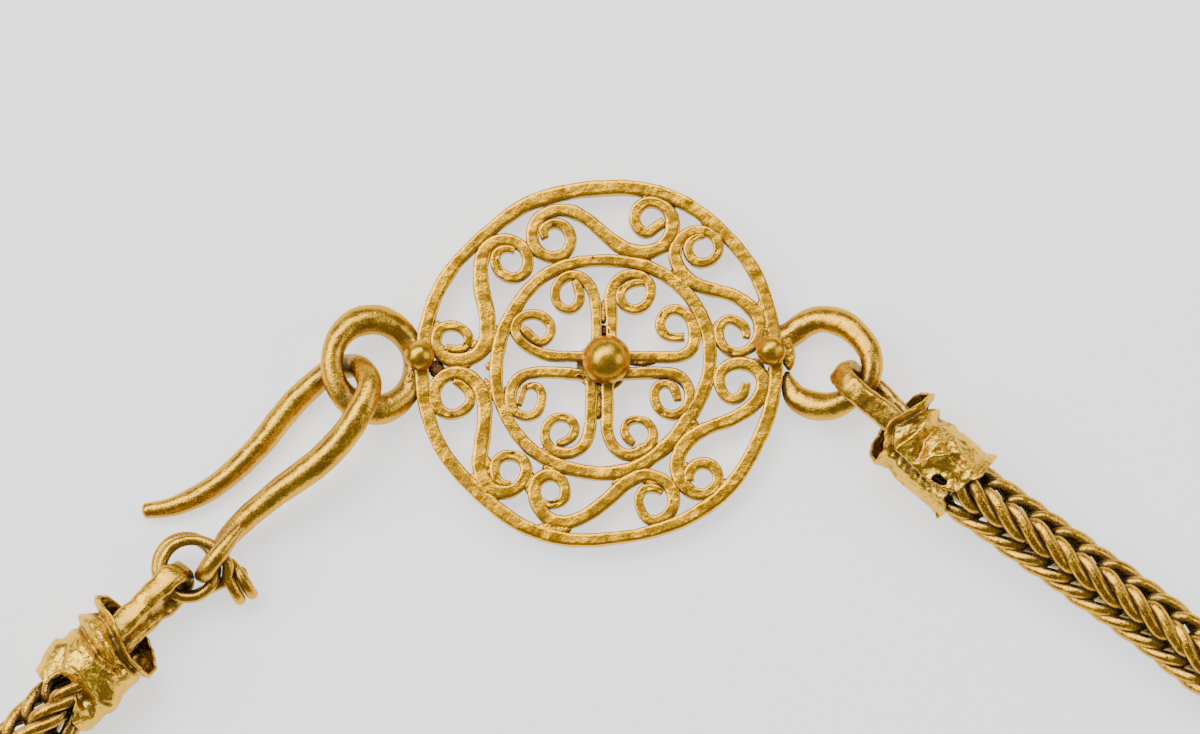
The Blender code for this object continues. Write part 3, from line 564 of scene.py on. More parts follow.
# %% The border scrolls
BORDER_ROUTES = {
    "upper_left": (
        (514, 249, 6.5), (506, 247.5, 7), (499, 249.5, 8), (495, 256, 9), (495.5, 264, 9.5),
        (501, 272, 10), (510, 276.5, 10), (519, 275, 10.5), (526, 268, 10.5), (527.5, 258, 10.5),
        (523.5, 247.5, 11), (515, 241, 11.5), (504, 238.5, 12), (493, 241, 12.5), (484.5, 249, 13),
        (480.5, 262, 13.5), (480, 276, 14.5), (481.5, 290, 15), (485, 305, 15.5), (487, 320, 15.5),
        (487, 334, 15.5), (483, 346, 15), (474, 355, 14.5), (462, 359, 14), (450, 358.5, 13.5),
        (440, 353, 12), (435.5, 343, 10), (438, 330, 10), (447, 324.5, 10), (458, 326, 9.5), (466, 332, 9),
        (468, 339.5, 8.5), (463, 346.5, 8), (454, 348, 7.5), (445, 346, 7),
    ),
    "top": (
        (545, 237, 7), (543, 230, 8.5), (547.5, 224, 9.5), (556, 222, 10), (564, 225, 10.5),
        (569.5, 233, 10.5), (570, 242, 10.5), (565, 251, 10.5), (555, 255.5, 10.5), (543, 253.5, 11),
        (534.5, 246, 11.5), (531.5, 235, 12), (533.5, 224, 12), (541, 214.5, 12), (552, 209.5, 12),
        (564, 208.5, 12), (576, 211.5, 12), (589, 219.5, 12), (602, 230.5, 12.5), (614, 241, 13.5),
        (627, 248.5, 14), (641, 251, 14), (654, 249, 14), (665, 242, 14), (671.5, 231, 13.5),
        (672, 218, 13), (667, 208, 12), (658, 202, 11), (648, 200.5, 11), (639, 205, 11),
        (634.5, 213.5, 11), (635.5, 222.5, 10.5), (641, 229.5, 10.5), (648, 231, 10.5), (656, 225.5, 10),
        (664, 220, 9),
    ),
    "upper_right": (
        (704, 234.5, 5), (696, 236, 6), (690, 240.5, 7.5), (687.5, 248, 8.5), (690.5, 256, 9),
        (697, 261, 9), (705, 261.5, 9), (713, 257.5, 9), (718, 249, 9), (717, 239, 9.5), (711, 232.5, 9.5),
        (702, 229.5, 10), (692, 230, 10.5), (683, 235, 11), (676.5, 244, 12), (675, 255, 12),
        (678.5, 266, 12.5), (687, 277, 13), (699, 284, 12.5), (712, 288, 12.5), (725, 291.5, 12.5),
        (738, 296.5, 13), (750, 305.5, 13.5), (758.5, 317, 13), (760, 329, 12), (755, 341, 10),
        (746, 349, 9), (736, 351.5, 9), (726, 348, 9), (720, 339, 9), (719, 328, 9), (724, 319.5, 9),
        (732, 318.5, 9), (740, 322.5, 9), (745.5, 329, 8.5), (745.5, 337, 6),
    ),
    "lower_right": (
        (745.5, 382, 7.5), (744.5, 388, 9.5), (740, 395, 10), (732, 398, 9.5), (724.5, 394, 10),
        (720, 386, 10.5), (719, 376.5, 11), (723, 368, 11.5), (732, 363, 12), (743, 362, 12),
        (754, 366, 12.5), (761.5, 374.5, 12.5), (762.5, 386, 13), (758.5, 397, 13.5), (750, 406, 13.5),
        (739, 413.5, 13), (727, 419.5, 13), (714, 424, 12.5), (702, 429, 13.5), (690, 437, 14),
        (681.5, 447, 14), (677, 459, 14), (677.5, 471, 14), (682, 482, 13.5), (690, 490, 12.5),
        (700, 493, 11), (710, 490, 11), (716.5, 482, 10.5), (717, 472, 10.5), (711, 464, 11),
        (702, 461.5, 11), (693.5, 464.5, 10.5), (688.5, 472, 10), (689, 480, 8),
    ),
    "bottom": (
        (662, 491, 5), (654, 487, 8), (645, 487.5, 8.5), (640, 493, 8.5), (638.5, 502, 8.5), (642, 512, 9),
        (649, 518.5, 9.5), (659, 518, 10), (669, 511, 11), (673.5, 500, 12), (671, 488, 12),
        (663, 479, 12), (652, 474.5, 12), (640, 474.5, 13), (628, 480, 14), (616, 490, 14),
        (604, 501, 13.5), (592, 510, 13.5), (579, 517, 13), (565, 521, 13), (551, 518.5, 13),
        (541.5, 510, 13), (535.5, 499, 13), (534, 487, 12), (539, 477.5, 12), (549, 473.5, 12),
        (559, 477, 10.5), (564.5, 486, 10), (564, 496, 10), (557, 502, 8.5), (548, 503, 7.5),
        (541, 500, 6.5),
    ),
    "lower_left": (
        (453, 380, 5), (461, 384, 7.5), (468, 391, 8.5), (470, 400, 9), (464, 408.5, 9.5), (453, 413, 9.5),
        (442, 410.5, 10.5), (435.5, 402.5, 12), (433.5, 392, 12.5), (437.5, 381, 13), (446, 374, 13.5),
        (457, 371.5, 13), (468, 375, 13.5), (477, 383.5, 14), (482.5, 394, 14.5), (484.5, 407, 14.5),
        (484, 422, 14), (482, 438, 14.5), (479.5, 455, 14.5), (479.5, 468, 14), (484, 480, 14),
        (492, 488.5, 14), (503, 491, 13), (514, 488, 12), (522.5, 480, 11.5), (526, 469, 11),
        (522.5, 459.5, 10.5), (514, 454.5, 10), (504, 454.5, 10), (496.5, 460, 10), (494, 469, 10),
        (497, 478, 9), (504, 482.5, 7), (511, 483, 5),
    ),
}

for seed, (place, route) in enumerate(BORDER_ROUTES.items(), 3):
    strip_piece(f"border_scroll_{place}", plan_of(route), seed)

# %% [markdown]
# ## The cross
#
# The cross has no strip of its own. Each of four C-scrolls runs in along one arm, turns the corner under
# the boss and runs out along the next arm, so two strips lie side by side in every arm.

# %% The cross
CROSS_ROUTES = {
    "upper_left": (
        (573.5, 279.5, 5), (577, 285, 8), (579.5, 294, 9), (577.5, 303, 9), (570, 308.5, 8.5),
        (561, 306, 8.5), (555.5, 298, 8.5), (555.5, 287, 9), (561, 278.5, 9), (570, 274, 9.5),
        (580, 275.5, 10), (588.5, 283, 10.5), (593.5, 294, 10.5), (595.5, 307, 10), (596, 322, 9.5),
        (596, 334, 9.5), (595.5, 344, 9.5), (591, 352, 9.5), (582, 355.5, 10), (568, 355, 10),
        (552, 354.5, 10.5), (539, 351.5, 10), (527, 345.5, 9.5), (518, 337, 9), (514.5, 327, 9),
        (518.5, 318, 9), (527, 313.5, 9.5), (538, 313.8, 9.5), (547, 319, 9), (551, 327.5, 8.5),
        (548, 336.5, 8.5), (540.5, 341, 8), (533, 337, 8), (526, 330.5, 8), (521.5, 326.5, 5),
    ),
    "upper_right": (
        (644, 281.5, 5), (636, 281.5, 7), (627, 284.5, 7.5), (621, 290.5, 8.5), (620.5, 299, 9),
        (626.5, 306, 9), (636, 308, 9), (645, 303.5, 9), (650, 294, 9), (649.5, 283.5, 9.5),
        (642, 275.5, 10), (631, 273, 10), (620.5, 276.5, 10.5), (613, 285, 11), (610, 297, 11.5),
        (611, 312, 11), (611, 327, 10.5), (611, 337, 10.5), (611.5, 345, 10), (616, 352.5, 10),
        (626, 355.5, 10), (642, 355.5, 10), (660, 355.5, 10.5), (676, 355.5, 10.5), (687.5, 351.5, 11),
        (693.5, 342, 11.5), (694, 330.5, 11.5), (690.5, 319, 10.5), (683.5, 311, 10), (674, 308, 9.5),
        (665, 311.5, 9.5), (660, 320, 9), (661, 329, 9), (667, 335, 8.5), (676, 336.5, 8), (684, 336, 7),
    ),
    "lower_right": (
        (633.5, 443, 5.5), (627.5, 437.5, 7.5), (624, 429, 7.5), (627.5, 421, 7.5), (636, 418.3, 7.5),
        (645, 420.5, 7.5), (651.5, 428, 8), (652.5, 437, 9), (647, 446.5, 10), (637, 452, 11),
        (626, 453.5, 11), (616, 448.5, 11), (609.5, 439, 11), (606.5, 426, 11), (607, 412, 11),
        (607, 398, 11), (607, 386, 11), (611, 376.5, 11), (620, 372.5, 11.5), (632, 372, 11.5),
        (645, 371.5, 11.5), (660, 371.5, 11), (673, 373, 11), (683.5, 379, 11), (689, 389, 10.5),
        (689, 400, 10), (683, 409, 9), (672.5, 413.7, 8.5), (662, 411, 8.5), (655.5, 403, 8.5),
        (654, 393, 8.5), (657.5, 385, 8.5), (665.5, 382.3, 8), (672.5, 386, 8), (676, 393, 8),
        (677.5, 399.5, 6.5),
    ),
    "lower_left": (
        (556, 442, 5), (564, 440.5, 7.5), (571.5, 435, 8.5), (574.5, 426.5, 8.5), (569.5, 418.5, 8.5),
        (560, 416, 8), (551, 419, 8.5), (545.5, 427, 8.5), (545, 437, 9), (549.5, 446, 10),
        (559, 451.5, 10.5), (571, 451.5, 10.5), (581.5, 446, 11), (587.5, 436, 11.5), (590, 422, 11),
        (590.5, 408, 10.5), (591, 396, 10.5), (591, 385, 10.5), (588, 377, 10.5), (580, 373.5, 10.5),
        (567, 372, 11), (552, 371, 11), (537, 371, 11), (524, 373.5, 11), (515, 380.5, 11),
        (510.5, 391, 11), (510.5, 402, 10.5), (515.5, 411, 9), (525, 415.5, 8.5), (534.5, 412.5, 8.5),
        (540, 404.5, 8.5), (541.5, 394, 8.5), (538, 387, 8), (530.5, 384.5, 6.5), (523.5, 388, 6.5),
        (520.5, 396, 6.5), (518.5, 404, 5),
    ),
}

for seed, (place, route) in enumerate(CROSS_ROUTES.items(), 11):
    strip_piece(f"cross_scroll_{place}", plan_of(route), seed)

# %% [markdown]
# ## Solder
#
# Where strips touch, the goldsmith fed in grains of solder, and the metal ran into the corner and filled
# it, in some places flush with the strips and in others lower. Every puddle is a ball pressed into a long
# low shape with a level top. Its row gives its middle, its half length and half width in pixels, its turn,
# and how far its top lies under the strips' tops.

# %% Solder
PUDDLES = (
    (493, 337, 15, 6, 85, 0.03), (436, 334, 15, 6, 80, 0.03), (441, 351, 12, 7, -40, 0.03),
    (474, 344, 5, 5, 40, 0.12), (432, 318, 12, 3.5, 70, 0.08), (560, 258, 9, 4, 20, 0.10),
    (651, 197, 10, 3.5, -5, 0.15), (670, 203, 7, 3, -35, 0.25), (638, 257, 14, 3, -5, 0.30),
    (675, 238, 7, 3.5, 75, 0.20), (531, 250, 6, 2.5, -60, 0.35), (716, 231, 11, 5, -40, 0.05),
    (706, 222, 6, 3.5, -25, 0.10), (682, 277, 14, 5, -42, 0.04), (716, 330, 11, 4.5, 80, 0.05),
    (764, 309, 12, 5, -68, 0.04), (766, 328, 11, 7, 90, 0.03), (752, 348, 8, 4, 30, 0.10),
    (714, 375, 10, 4.5, 85, 0.05), (768, 385, 22, 3, 84, 0.08), (758, 365, 9, 6, -50, 0.05),
    (688, 428, 13, 9, 40, 0.03), (721, 487, 12, 5, 50, 0.04), (708, 500, 10, 3.5, 30, 0.20),
    (692, 404, 9, 4, 62, 0.10), (686, 465, 3.5, 4, 0, 0.15), (664, 448, 9, 5, 45, 0.08),
    (622, 479, 12, 4, 25, 0.08), (650, 481, 12, 3.5, -10, 0.08), (550, 468, 8, 4, -8, 0.05),
    (530, 482, 12, 5, 80, 0.04), (553, 527.5, 19, 6, -3, 0.03), (428, 401, 13, 3.5, -75, 0.10),
    (460, 365, 12, 3, 0, 0.04), (490, 389, 13, 3.5, -68, 0.06), (476, 479, 8, 5, -50, 0.05),
    (489, 494, 12, 5, -35, 0.04), (487, 466, 11, 5, 85, 0.04), (511, 325, 9, 2.5, 75, 0.15),
    (508, 395, 10, 3, -75, 0.10), (549, 452, 9, 4, -25, 0.08), (641, 449, 14, 6, 25, 0.03),
    (653, 437, 4, 8, 20, 0.05), (698, 325, 10, 3, -80, 0.12), (603.5, 311, 12, 3.6, 90, 0.15),
    (640, 361, 17, 4, 0, 0.08), (598.5, 404, 15, 4, 90, 0.18), (598, 389, 6, 6, 90, 0.10),
    (489, 365, 4, 4, 60, 0.25), (787.5, 350, 20, 7.5, -82, 0.05), (411, 341, 10, 5, -55, 0.0),
    (410, 378, 11, 5, 60, 0.05),
)
PUDDLE_DEPTH = 0.9 * MM
PUDDLE_SEAT = 0.55
PUDDLE_CROWN = 20


def settle(shape, verts, row, depth, height):
    """Presses a ball of radius 1 to half its length, width and depth, turns it and sets its middle down."""
    across, down, long, wide, turn = row
    bmesh.ops.scale(shape, vec=(long * PIXEL, wide * PIXEL, depth), verts=verts)
    bmesh.ops.rotate(shape, matrix=Matrix.Rotation(math.radians(turn), 3, "Z"), verts=verts)
    bmesh.ops.translate(shape, vec=(*at_pixel(across, down, height).xy, 0), verts=verts)


shape = bmesh.new()
for *row, drop in PUDDLES:
    verts = bmesh.ops.create_uvsphere(shape, u_segments=24, v_segments=12, radius=1)["verts"]
    settle(shape, verts, row, PUDDLE_DEPTH, MEDALLION_TOP)
    seat = STRIP_TOP - drop * MM - PUDDLE_SEAT * PUDDLE_DEPTH
    for vert in verts:
        vert.co.z = seat + min(vert.co.z, PUDDLE_DEPTH / 2 + vert.co.z / PUDDLE_CROWN)
hammer(shape, grain=0.3 * MM, depth=0.05 * MM, seed=17)
finish_piece(shape, "solder", solder_gold, "gold_strip")

# %% [markdown]
# Two corners still hold a reddish-brown crust from the ground: one beside the left bead, one between the
# upper arms of the cross. It is earth full of gold grains, so it shines less than solder does.

# %% The brown crusts
CRUSTS = ((437, 370, 12.5, 7.5, -42, 0.05), (603.5, 331.5, 7, 4, 90, 0.35))
CRUST_DEPTH = 0.6 * MM

crust = Finish("brown crust")
grains = crust.clouds(9, detail=4)
crust_colour = crust.mix(crust.between(grains, 0.45, 0.7), (0.14, 0.045, 0.018), (0.62, 0.31, 0.08))
bump = crust.node("ShaderNodeBump", {}, {"Height": grains, "Distance": 0.1 * MM})
crust.feed(crust.shader, {"Base Color": crust_colour, "Roughness": 0.45, "Metallic": 0.55, "Normal": bump})

shape = bmesh.new()
for *row, drop in CRUSTS:
    verts = bmesh.ops.create_icosphere(shape, subdivisions=4, radius=1)["verts"]
    height = STRIP_TOP - CRUST_DEPTH - drop * MM
    settle(shape, verts, row, CRUST_DEPTH, height)
    bmesh.ops.translate(shape, vec=(0, 0, height), verts=verts)
hammer(shape, grain=0.25 * MM, depth=0.12 * MM, seed=19)
finish_piece(shape, "earth_crust", crust.material, "gold_strip")

# %% [markdown]
# ## Boss and beads
#
# The boss is a hollow dome, hammered over a punch, and the two beads are solid grains melted into balls.
# All three are cut flat below where they are soldered down. A ball, a cut with a plane and a closed floor
# make each of them, and a light hammering keeps them from looking turned on a lathe.

# %% Boss and beads
DOME_HEIGHT = 1.5
BOSS_RADIUS = 1.62 * MM
BEAD_RADIUS = 1.02 * MM
BEADS = {"left_bead": (419.5, 356.5), "right_bead": (771, 351.5)}
SOLDER_GAP = 0.05 * MM
BOSS_PLACE = Vector((0.41 * MM, 0.04 * MM))


def cut_flat(shape, place, outward):
    """Cuts off what lies beyond a plane, and closes the cut."""
    geometry = [*shape.verts, *shape.edges, *shape.faces]
    bmesh.ops.bisect_plane(shape, geom=geometry, plane_co=place, plane_no=outward, clear_outer=True)
    bmesh.ops.holes_fill(shape, edges=[edge for edge in shape.edges if edge.is_boundary])


def dome(name, radius, place, seed, dents):
    """A ball cut flat below, so that it rises DOME_HEIGHT radii above the strips."""
    shape = bmesh.new()
    bmesh.ops.create_uvsphere(shape, u_segments=48, v_segments=32, radius=radius)
    floor = radius * (1 - DOME_HEIGHT)
    cut_flat(shape, (0, 0, floor), (0, 0, -1))
    upper = [vert for vert in shape.verts if vert.co.z > floor + radius / 8]
    hammer(shape, grain=radius * 0.75, depth=dents, seed=seed, verts=upper)
    hammer(shape, grain=radius * 0.3, depth=dents * 0.12, seed=seed, verts=upper)
    bmesh.ops.translate(shape, vec=(*place, STRIP_TOP + SOLDER_GAP - floor), verts=shape.verts)
    return finish_piece(shape, name, bead_gold, "gold_strip", name)


dome("boss", BOSS_RADIUS, BOSS_PLACE, seed=21, dents=0.05 * MM)
for seed, (name, pixel) in enumerate(BEADS.items(), 22):
    dome(name, BEAD_RADIUS, at_pixel(*pixel).xy, seed, dents=0.06 * MM)

# %% [markdown]
# A small plate closes the cross from behind. Its edge just shows past the boss. It is a low cylinder whose
# rims are bevelled and whose faces are hammered uneven.

# %% The plate behind the boss
BACKING_RADIUS = 1.7 * MM
BACKING_THICKNESS = 0.45 * MM
BACKING_PLACE = (0.1 * MM, -0.2 * MM)

shape = bmesh.new()
bmesh.ops.create_cone(
    shape, cap_ends=True, segments=64, radius1=BACKING_RADIUS, radius2=BACKING_RADIUS, depth=BACKING_THICKNESS
)
rims = [edge for edge in shape.edges if abs(edge.verts[0].co.z - edge.verts[1].co.z) < MM / 100]
bmesh.ops.bevel(shape, geom=rims, offset=0.1 * MM, affect="EDGES", segments=3, profile=0.5, material=-1)
hammer(shape, grain=0.8 * MM, depth=0.06 * MM, seed=31)
bmesh.ops.translate(shape, vec=(*BACKING_PLACE, BACKING_THICKNESS / 2), verts=shape.verts)
finish_piece(shape, "boss_backing", strip_gold, "gold_strip", "boss_backing")

# %% [markdown]
# ## Round wire
#
# Both loops, the hook and the small ring are round wire. The sweep is the same as for the strip, with a
# circle for its section. Each vertex keeps a note of where on the wire it is, so that a pattern can run
# along it, as the seams in the chain's wire do. The ends are rounded over by a few last stops that shrink.

# %% Round wire
WIRE_END = 0.6


def wire_ring(shape, sides):
    """A circle of edges that remembers how far round the wire each vertex is."""
    bmesh.ops.create_circle(shape, segments=sides, radius=1)
    memory = shape.verts.layers.float_vector.new("wire")
    for vert in shape.verts:
        vert[memory] = (vert.co.x, vert.co.y, 0)
    return list(shape.edges)


def rounded_ends(path):
    """The path with four more stops at each end, which shrink to close the wire with a blunt tip."""
    long = [Vector(point) for point in path]
    for end, inner in ((0, 1), (-1, -2)):
        tip = Vector(long[end])
        way = (tip - long[inner]).to_3d().normalized()
        extra = []
        for degrees in (20, 40, 60, 80):
            turn = math.radians(degrees)
            spot = tip.to_3d() + way * tip.w * WIRE_END * math.sin(turn)
            extra.append(Vector((*spot, tip.w * math.cos(turn))))
        long = extra[::-1] + long if end == 0 else long + extra
    return long


def wire_piece(name, path, sides, step, seed, closed=False, dents=0.05 * MM, trim=None):
    """A hand-drawn wire along points (x, y, z, radius)."""
    path = evenly(path, step, closed)
    if not closed:
        path = rounded_ends(path)
    shape = bmesh.new()
    sweep(shape, wire_ring(shape, sides), stops_along(path, closed), closed)
    hammer(shape, grain=1.3 * MM, depth=dents, seed=seed)
    hammer(shape, grain=0.4 * MM, depth=dents * 0.35, seed=seed + 3)
    if trim:
        trim(shape)
    return finish_piece(shape, name, wire_gold, "gold_wire", name)


# %% [markdown]
# ## The two loops
#
# The left loop is closed. It is soldered to the rim and rises away from it, because the hook passes under
# its far side. The right loop is open: one end is soldered down, and the other is drawn out to a point and
# bent back, close to the rim but free of it.

# %% The left loop
LEFT_RING_HALF = (2.75 * MM, 3.04 * MM)
RING_WIRE = 0.88 * MM
RIM_LEFT = Vector((-12.41 * MM, 0))
RIM_INSIDE = 0.42 * MM
RING_DROP = 0.2 * MM
RING_THIN = 0.84
RING_THICK = 1.16
RING_STOPS = 48
HOOK_WIRE = 0.78 * MM
HOOK_PLAY = 0.24 * MM

left_ring_centre = RIM_LEFT - Vector((LEFT_RING_HALF[0], RING_DROP))


def ring_rise(away):
    """The height of a loop's wire, from the medallion's side (0) to its far side (1)."""
    return RING_WIRE + (2 * HOOK_WIRE + HOOK_PLAY) * away


def trim_at_rim(shape):
    """Files the loop flat where it meets the inside of the rim."""
    cut_flat(shape, (RIM_LEFT.x + RIM_INSIDE, 0, 0), (1, 0, 0))


path = []
for step in range(RING_STOPS):
    turn = math.tau * step / RING_STOPS
    x = left_ring_centre.x + LEFT_RING_HALF[0] * math.cos(turn)
    y = left_ring_centre.y + LEFT_RING_HALF[1] * math.sin(turn)
    thick = RING_THIN + (RING_THICK - RING_THIN) * math.sin(turn) ** 2
    path.append((x, y, ring_rise((1 - math.cos(turn)) / 2), RING_WIRE * thick))
wire_piece("left_ring", path, sides=28, step=0.2 * MM, seed=41, closed=True, trim=trim_at_rim)

# %% [markdown]
# The right loop isn't an ellipse: where it was drawn out and bent back, it is flatter. So its wire is read
# off the photograph, as places with the wire's width there in pixels.

# %% The right loop
RIGHT_RING_LONG = 2.4 * MM
RIM_RIGHT = Vector((12.28 * MM, 0))
RIGHT_RING_ROUTE = (
    (778, 340, 26), (792, 333.5, 27), (805.5, 324, 27), (822.5, 319, 27.5), (841.5, 323, 28),
    (857.5, 335, 26), (867.5, 348.5, 24.5), (871.5, 362, 22.5), (870.5, 375, 21), (864.5, 387, 21.5),
    (850, 397.5, 23.5), (837, 404.5, 26.5), (823, 406.5, 28), (809, 404, 28.5), (796.5, 396.5, 26),
    (790, 385, 17.5), (788, 377, 10.5), (788, 373, 6.5),
)
right_ring_centre = RIM_RIGHT + Vector((RIGHT_RING_LONG + RING_WIRE + 2 * SOLDER_GAP, 0))


def right_ring_spot(across, down):
    """The middle of the right loop's wire under a pixel: the loop climbs as it leaves the rim."""
    away = (at_pixel(across, down).x - right_ring_centre.x) / RIGHT_RING_LONG
    return at_pixel(across, down, ring_rise((1 + max(-1, min(1, away))) / 2))


path = [(*right_ring_spot(across, down), wide * PIXEL / 2) for across, down, wide in RIGHT_RING_ROUTE]
wire_piece("right_ring", smooth_through(path, PER_SPAN), sides=28, step=0.2 * MM, seed=42)

# %% [markdown]
# ## Where the small ring winds
#
# The hook's eye holds a small ring of thin wire, wound nearly twice round, whose two turns lie side by side
# on the left. A function gives the middle of that wire after so many degrees of winding. It comes before the
# hook, because the hook's eye has to clear both turns.

# %% Where the small ring winds
LINK_WIRE = 0.39 * MM
LINK_RADIUS = 1.95 * MM
LINK_HEIGHT = 1.45 * MM
LINK_START = -60
LINK_WINDING = 655
LINK_SPREAD = 0.55 * MM
LINK_SPREAD_FROM = 565
LINK_OFFSET = Vector((-12.08 * MM, -13.8 * MM))
LINK_SHIFT = Vector((-0.34 * MM, 0.24 * MM))
LINK_CHANGE = 280
LINK_CHANGE_LONG = 160
PLAY = 0.08 * MM
link_middle = left_ring_centre + LINK_OFFSET
link_pitch = 2 * LINK_WIRE + PLAY / 2


def link_point(degrees):
    """The middle of the small ring's wire after this much winding, which ends outside the first turn."""
    spread = max(0, (degrees - LINK_SPREAD_FROM) / (LINK_WINDING - LINK_SPREAD_FROM)) ** 2 * LINK_SPREAD
    upper = min(1, max(0, (degrees - LINK_CHANGE) / LINK_CHANGE_LONG))
    spot = link_middle + LINK_SHIFT * (1 - upper) + at(LINK_START - degrees, LINK_RADIUS + spread)
    return Vector((*spot, LINK_HEIGHT + link_pitch * degrees / 360 - spread / 5))


print("the winding's start in mm:", [round(part / MM, 2) for part in link_point(0)])

# %% [markdown]
# ## The hook
#
# One wire, hammered to a point, bent over like a swan's neck and turned back on itself at the other end to
# make an eye. Its waypoints are listed in plan. Each has a lift too, from lying on the table to riding over
# the loop, and a share of the wire's full thickness. A smooth curve through them is the wire.

# %% The hook
HOOK_EYE_WIRE = 0.56 * MM
HOOK_EYE_PLAY = 0.15 * MM
HOOK_CROSSING = 0.78
HOOK_SIDE = 265
HOOK_ROUTE = (
    (-15.1, -9.65, 0.0, 0.68),
    (-13.1, -9.30, 0.0, 0.86),
    (-10.5, -8.00, 0.0, 1.00),
    (-8.0, -5.80, 0.0, 1.07),
    (-5.5, -2.70, 0.0, 1.11),
    (-3.4, -0.70, 0.0, 1.09),
    (-2.3, -0.15, 0.0, 1.05),
    (-1.4, 0.00, 0.18, 1.03),
    (-0.6, -0.52, 0.60, 1.03),
    (-0.22, -1.50, 0.90, 1.08),
    (-0.42, -2.60, 1.00, 1.12),
    (-0.98, -3.65, 1.02, 1.17),
    (-1.85, -5.00, 0.98, 1.23),
    (-3.6, -6.80, 0.88, 1.27),
    (-6.0, -8.45, 0.66, 1.17),
    (-8.35, -10.3, 0.38, 1.02),
    (-9.6, -11.5, 0.20, 0.90),
)
HOOK_EYE_ROUTE = (
    (1.75, 1.30, 0.0, 1.12),
    (1.15, 0.45, 0.0, 1.0),
    (0.84, -0.12, 0.14, 1.0),
    (0.80, -0.35, 0.5, 1.0),
    (1.02, -0.22, 0.86, 1.05),
    (1.58, 0.48, 1.0, 1.08),
    (2.38, 1.50, 1.0, 1.02),
    (3.25, 2.65, 0.86, 0.80),
)
over = ring_rise(HOOK_CROSSING) + RING_WIRE + PLAY + HOOK_WIRE
clear = LINK_WIRE + HOOK_EYE_PLAY + HOOK_EYE_WIRE
low = max(HOOK_EYE_WIRE, link_point(HOOK_SIDE).z - clear)
high = link_point(HOOK_SIDE + 360).z + clear
route = []
for x, y, lift, share in HOOK_ROUTE:
    radius = share * HOOK_WIRE
    height = radius + lift * (over - radius)
    route.append((left_ring_centre.x + x * MM, left_ring_centre.y + y * MM, height, radius))
for x, y, lift, share in HOOK_EYE_ROUTE:
    spot = (link_middle.x + x * MM, link_middle.y + y * MM, low + lift * (high - low))
    route.append((*spot, share * HOOK_EYE_WIRE))
wire_piece("hook", smooth_through(route, PER_SPAN), sides=26, step=0.18 * MM, seed=43)

# %% [markdown]
# ## The small ring
#
# The wire's beginning sticks out as a straight tail, and its end is wrapped round that tail in a short loose
# coil, which is how a wire is fastened without solder. So the path is the tail, the winding, and a helix
# round the tail that hangs a little to the front.

# %% The small ring
LINK_TAIL = 3.2 * MM
COIL_PLACE = 1.95 * MM
COIL_SLACK = 0.19 * MM
COIL_WIDE = 1.2 * MM
COIL_HANG = Vector((0.12 * MM, -0.32 * MM, 0))
COIL_SWEEP = 468
COIL_STOPS = 45
LINK_STOPS = 90

first = link_point(0)
way = (first - link_point(8)).normalized()
end = first + way * LINK_TAIL
side = Vector((-way.y, way.x, 0)).normalized()
rise = way.cross(side)
coil_pitch = 2 * LINK_WIRE + 1.6 * PLAY
spots = [end.lerp(first, step / 8) for step in range(8)]
spots += [link_point(LINK_WINDING * step / LINK_STOPS) for step in range(LINK_STOPS + 1)]
for step in range(COIL_STOPS + 1):
    wound = COIL_SWEEP * step / COIL_STOPS
    turn = math.radians(90 + wound)
    radius = 2 * LINK_WIRE + PLAY + COIL_SLACK * max(0, 1 - wound / 90)
    spot = first + way * (COIL_PLACE + coil_pitch * wound / 360) + COIL_HANG * min(1, wound / 60)
    spots.append(spot + side * math.cos(turn) * COIL_WIDE + rise * math.sin(turn) * radius)
path = [(*spot, LINK_WIRE) for spot in spots]
wire_piece("connecting_ring", path, sides=18, step=0.13 * MM, seed=44, dents=0.03 * MM)

# %% [markdown]
# ## The sleeves
#
# Each sleeve is a short tube of thin sheet gold, pushed over the chain's end and squeezed with pliers. The
# tube starts true: a cone with no caps, cut into fine rows. Then every vertex is moved to where the
# crumpled sheet is. Its outline and its two rims come first. How far each side reaches is a table along the
# tube in pixels, and where a rim runs is a table round it: 0 degrees is the right side seen from the mouth,
# and 90 is the top.

# %% Outline and rims of the sleeves
SLEEVE_LENGTH = 6.0 * MM
SLEEVE_RADIUS = 2.52 * MM
SLEEVE_FLARE = 0.6 * MM
SLEEVE_MOUTH = 0.11
SLEEVE_WALL = 0.2 * MM
SLEEVE_FOLD = 0.1 * MM
SLEEVE_DROP = 0.35 * MM
SLEEVES = {
    "left": (left_ring_centre + Vector((-16.6 * MM, -17.9 * MM)), -132),
    "right": (right_ring_centre + Vector((4.7 * MM, -4.3 * MM)), -43),
}
REACH = {
    "right": (
        ((-0.18, 39), (-0.06, 38.5), (0.03, 36), (0.05, 26), (0.10, 25), (0.18, 28), (0.25, 27),
         (0.34, 30.5), (0.40, 32), (0.49, 30), (0.57, 31.5), (0.75, 33), (0.86, 32), (0.96, 35.5),
         (1.02, 34)),
        ((-0.18, 44), (-0.08, 48), (0.04, 52), (0.13, 48.5), (0.20, 45.5), (0.28, 47), (0.35, 48.5),
         (0.50, 47), (0.66, 46.5), (0.82, 45.5), (0.90, 46), (0.98, 50)),
    ),
    "left": (
        ((-0.20, 47), (0.00, 50), (0.10, 54), (0.20, 53), (0.23, 45), (0.32, 46), (0.50, 44), (0.58, 46),
         (0.66, 48.5), (0.73, 48), (0.82, 45), (1.00, 43.5), (1.15, 40)),
        ((-0.20, 40), (-0.13, 41), (-0.03, 39), (0.03, 30.5), (0.12, 35.5), (0.20, 38.5), (0.29, 34.5),
         (0.42, 34.5), (0.50, 37.5), (0.58, 42.5), (0.75, 41.5), (0.88, 38.5), (1.00, 36.5)),
    ),
}
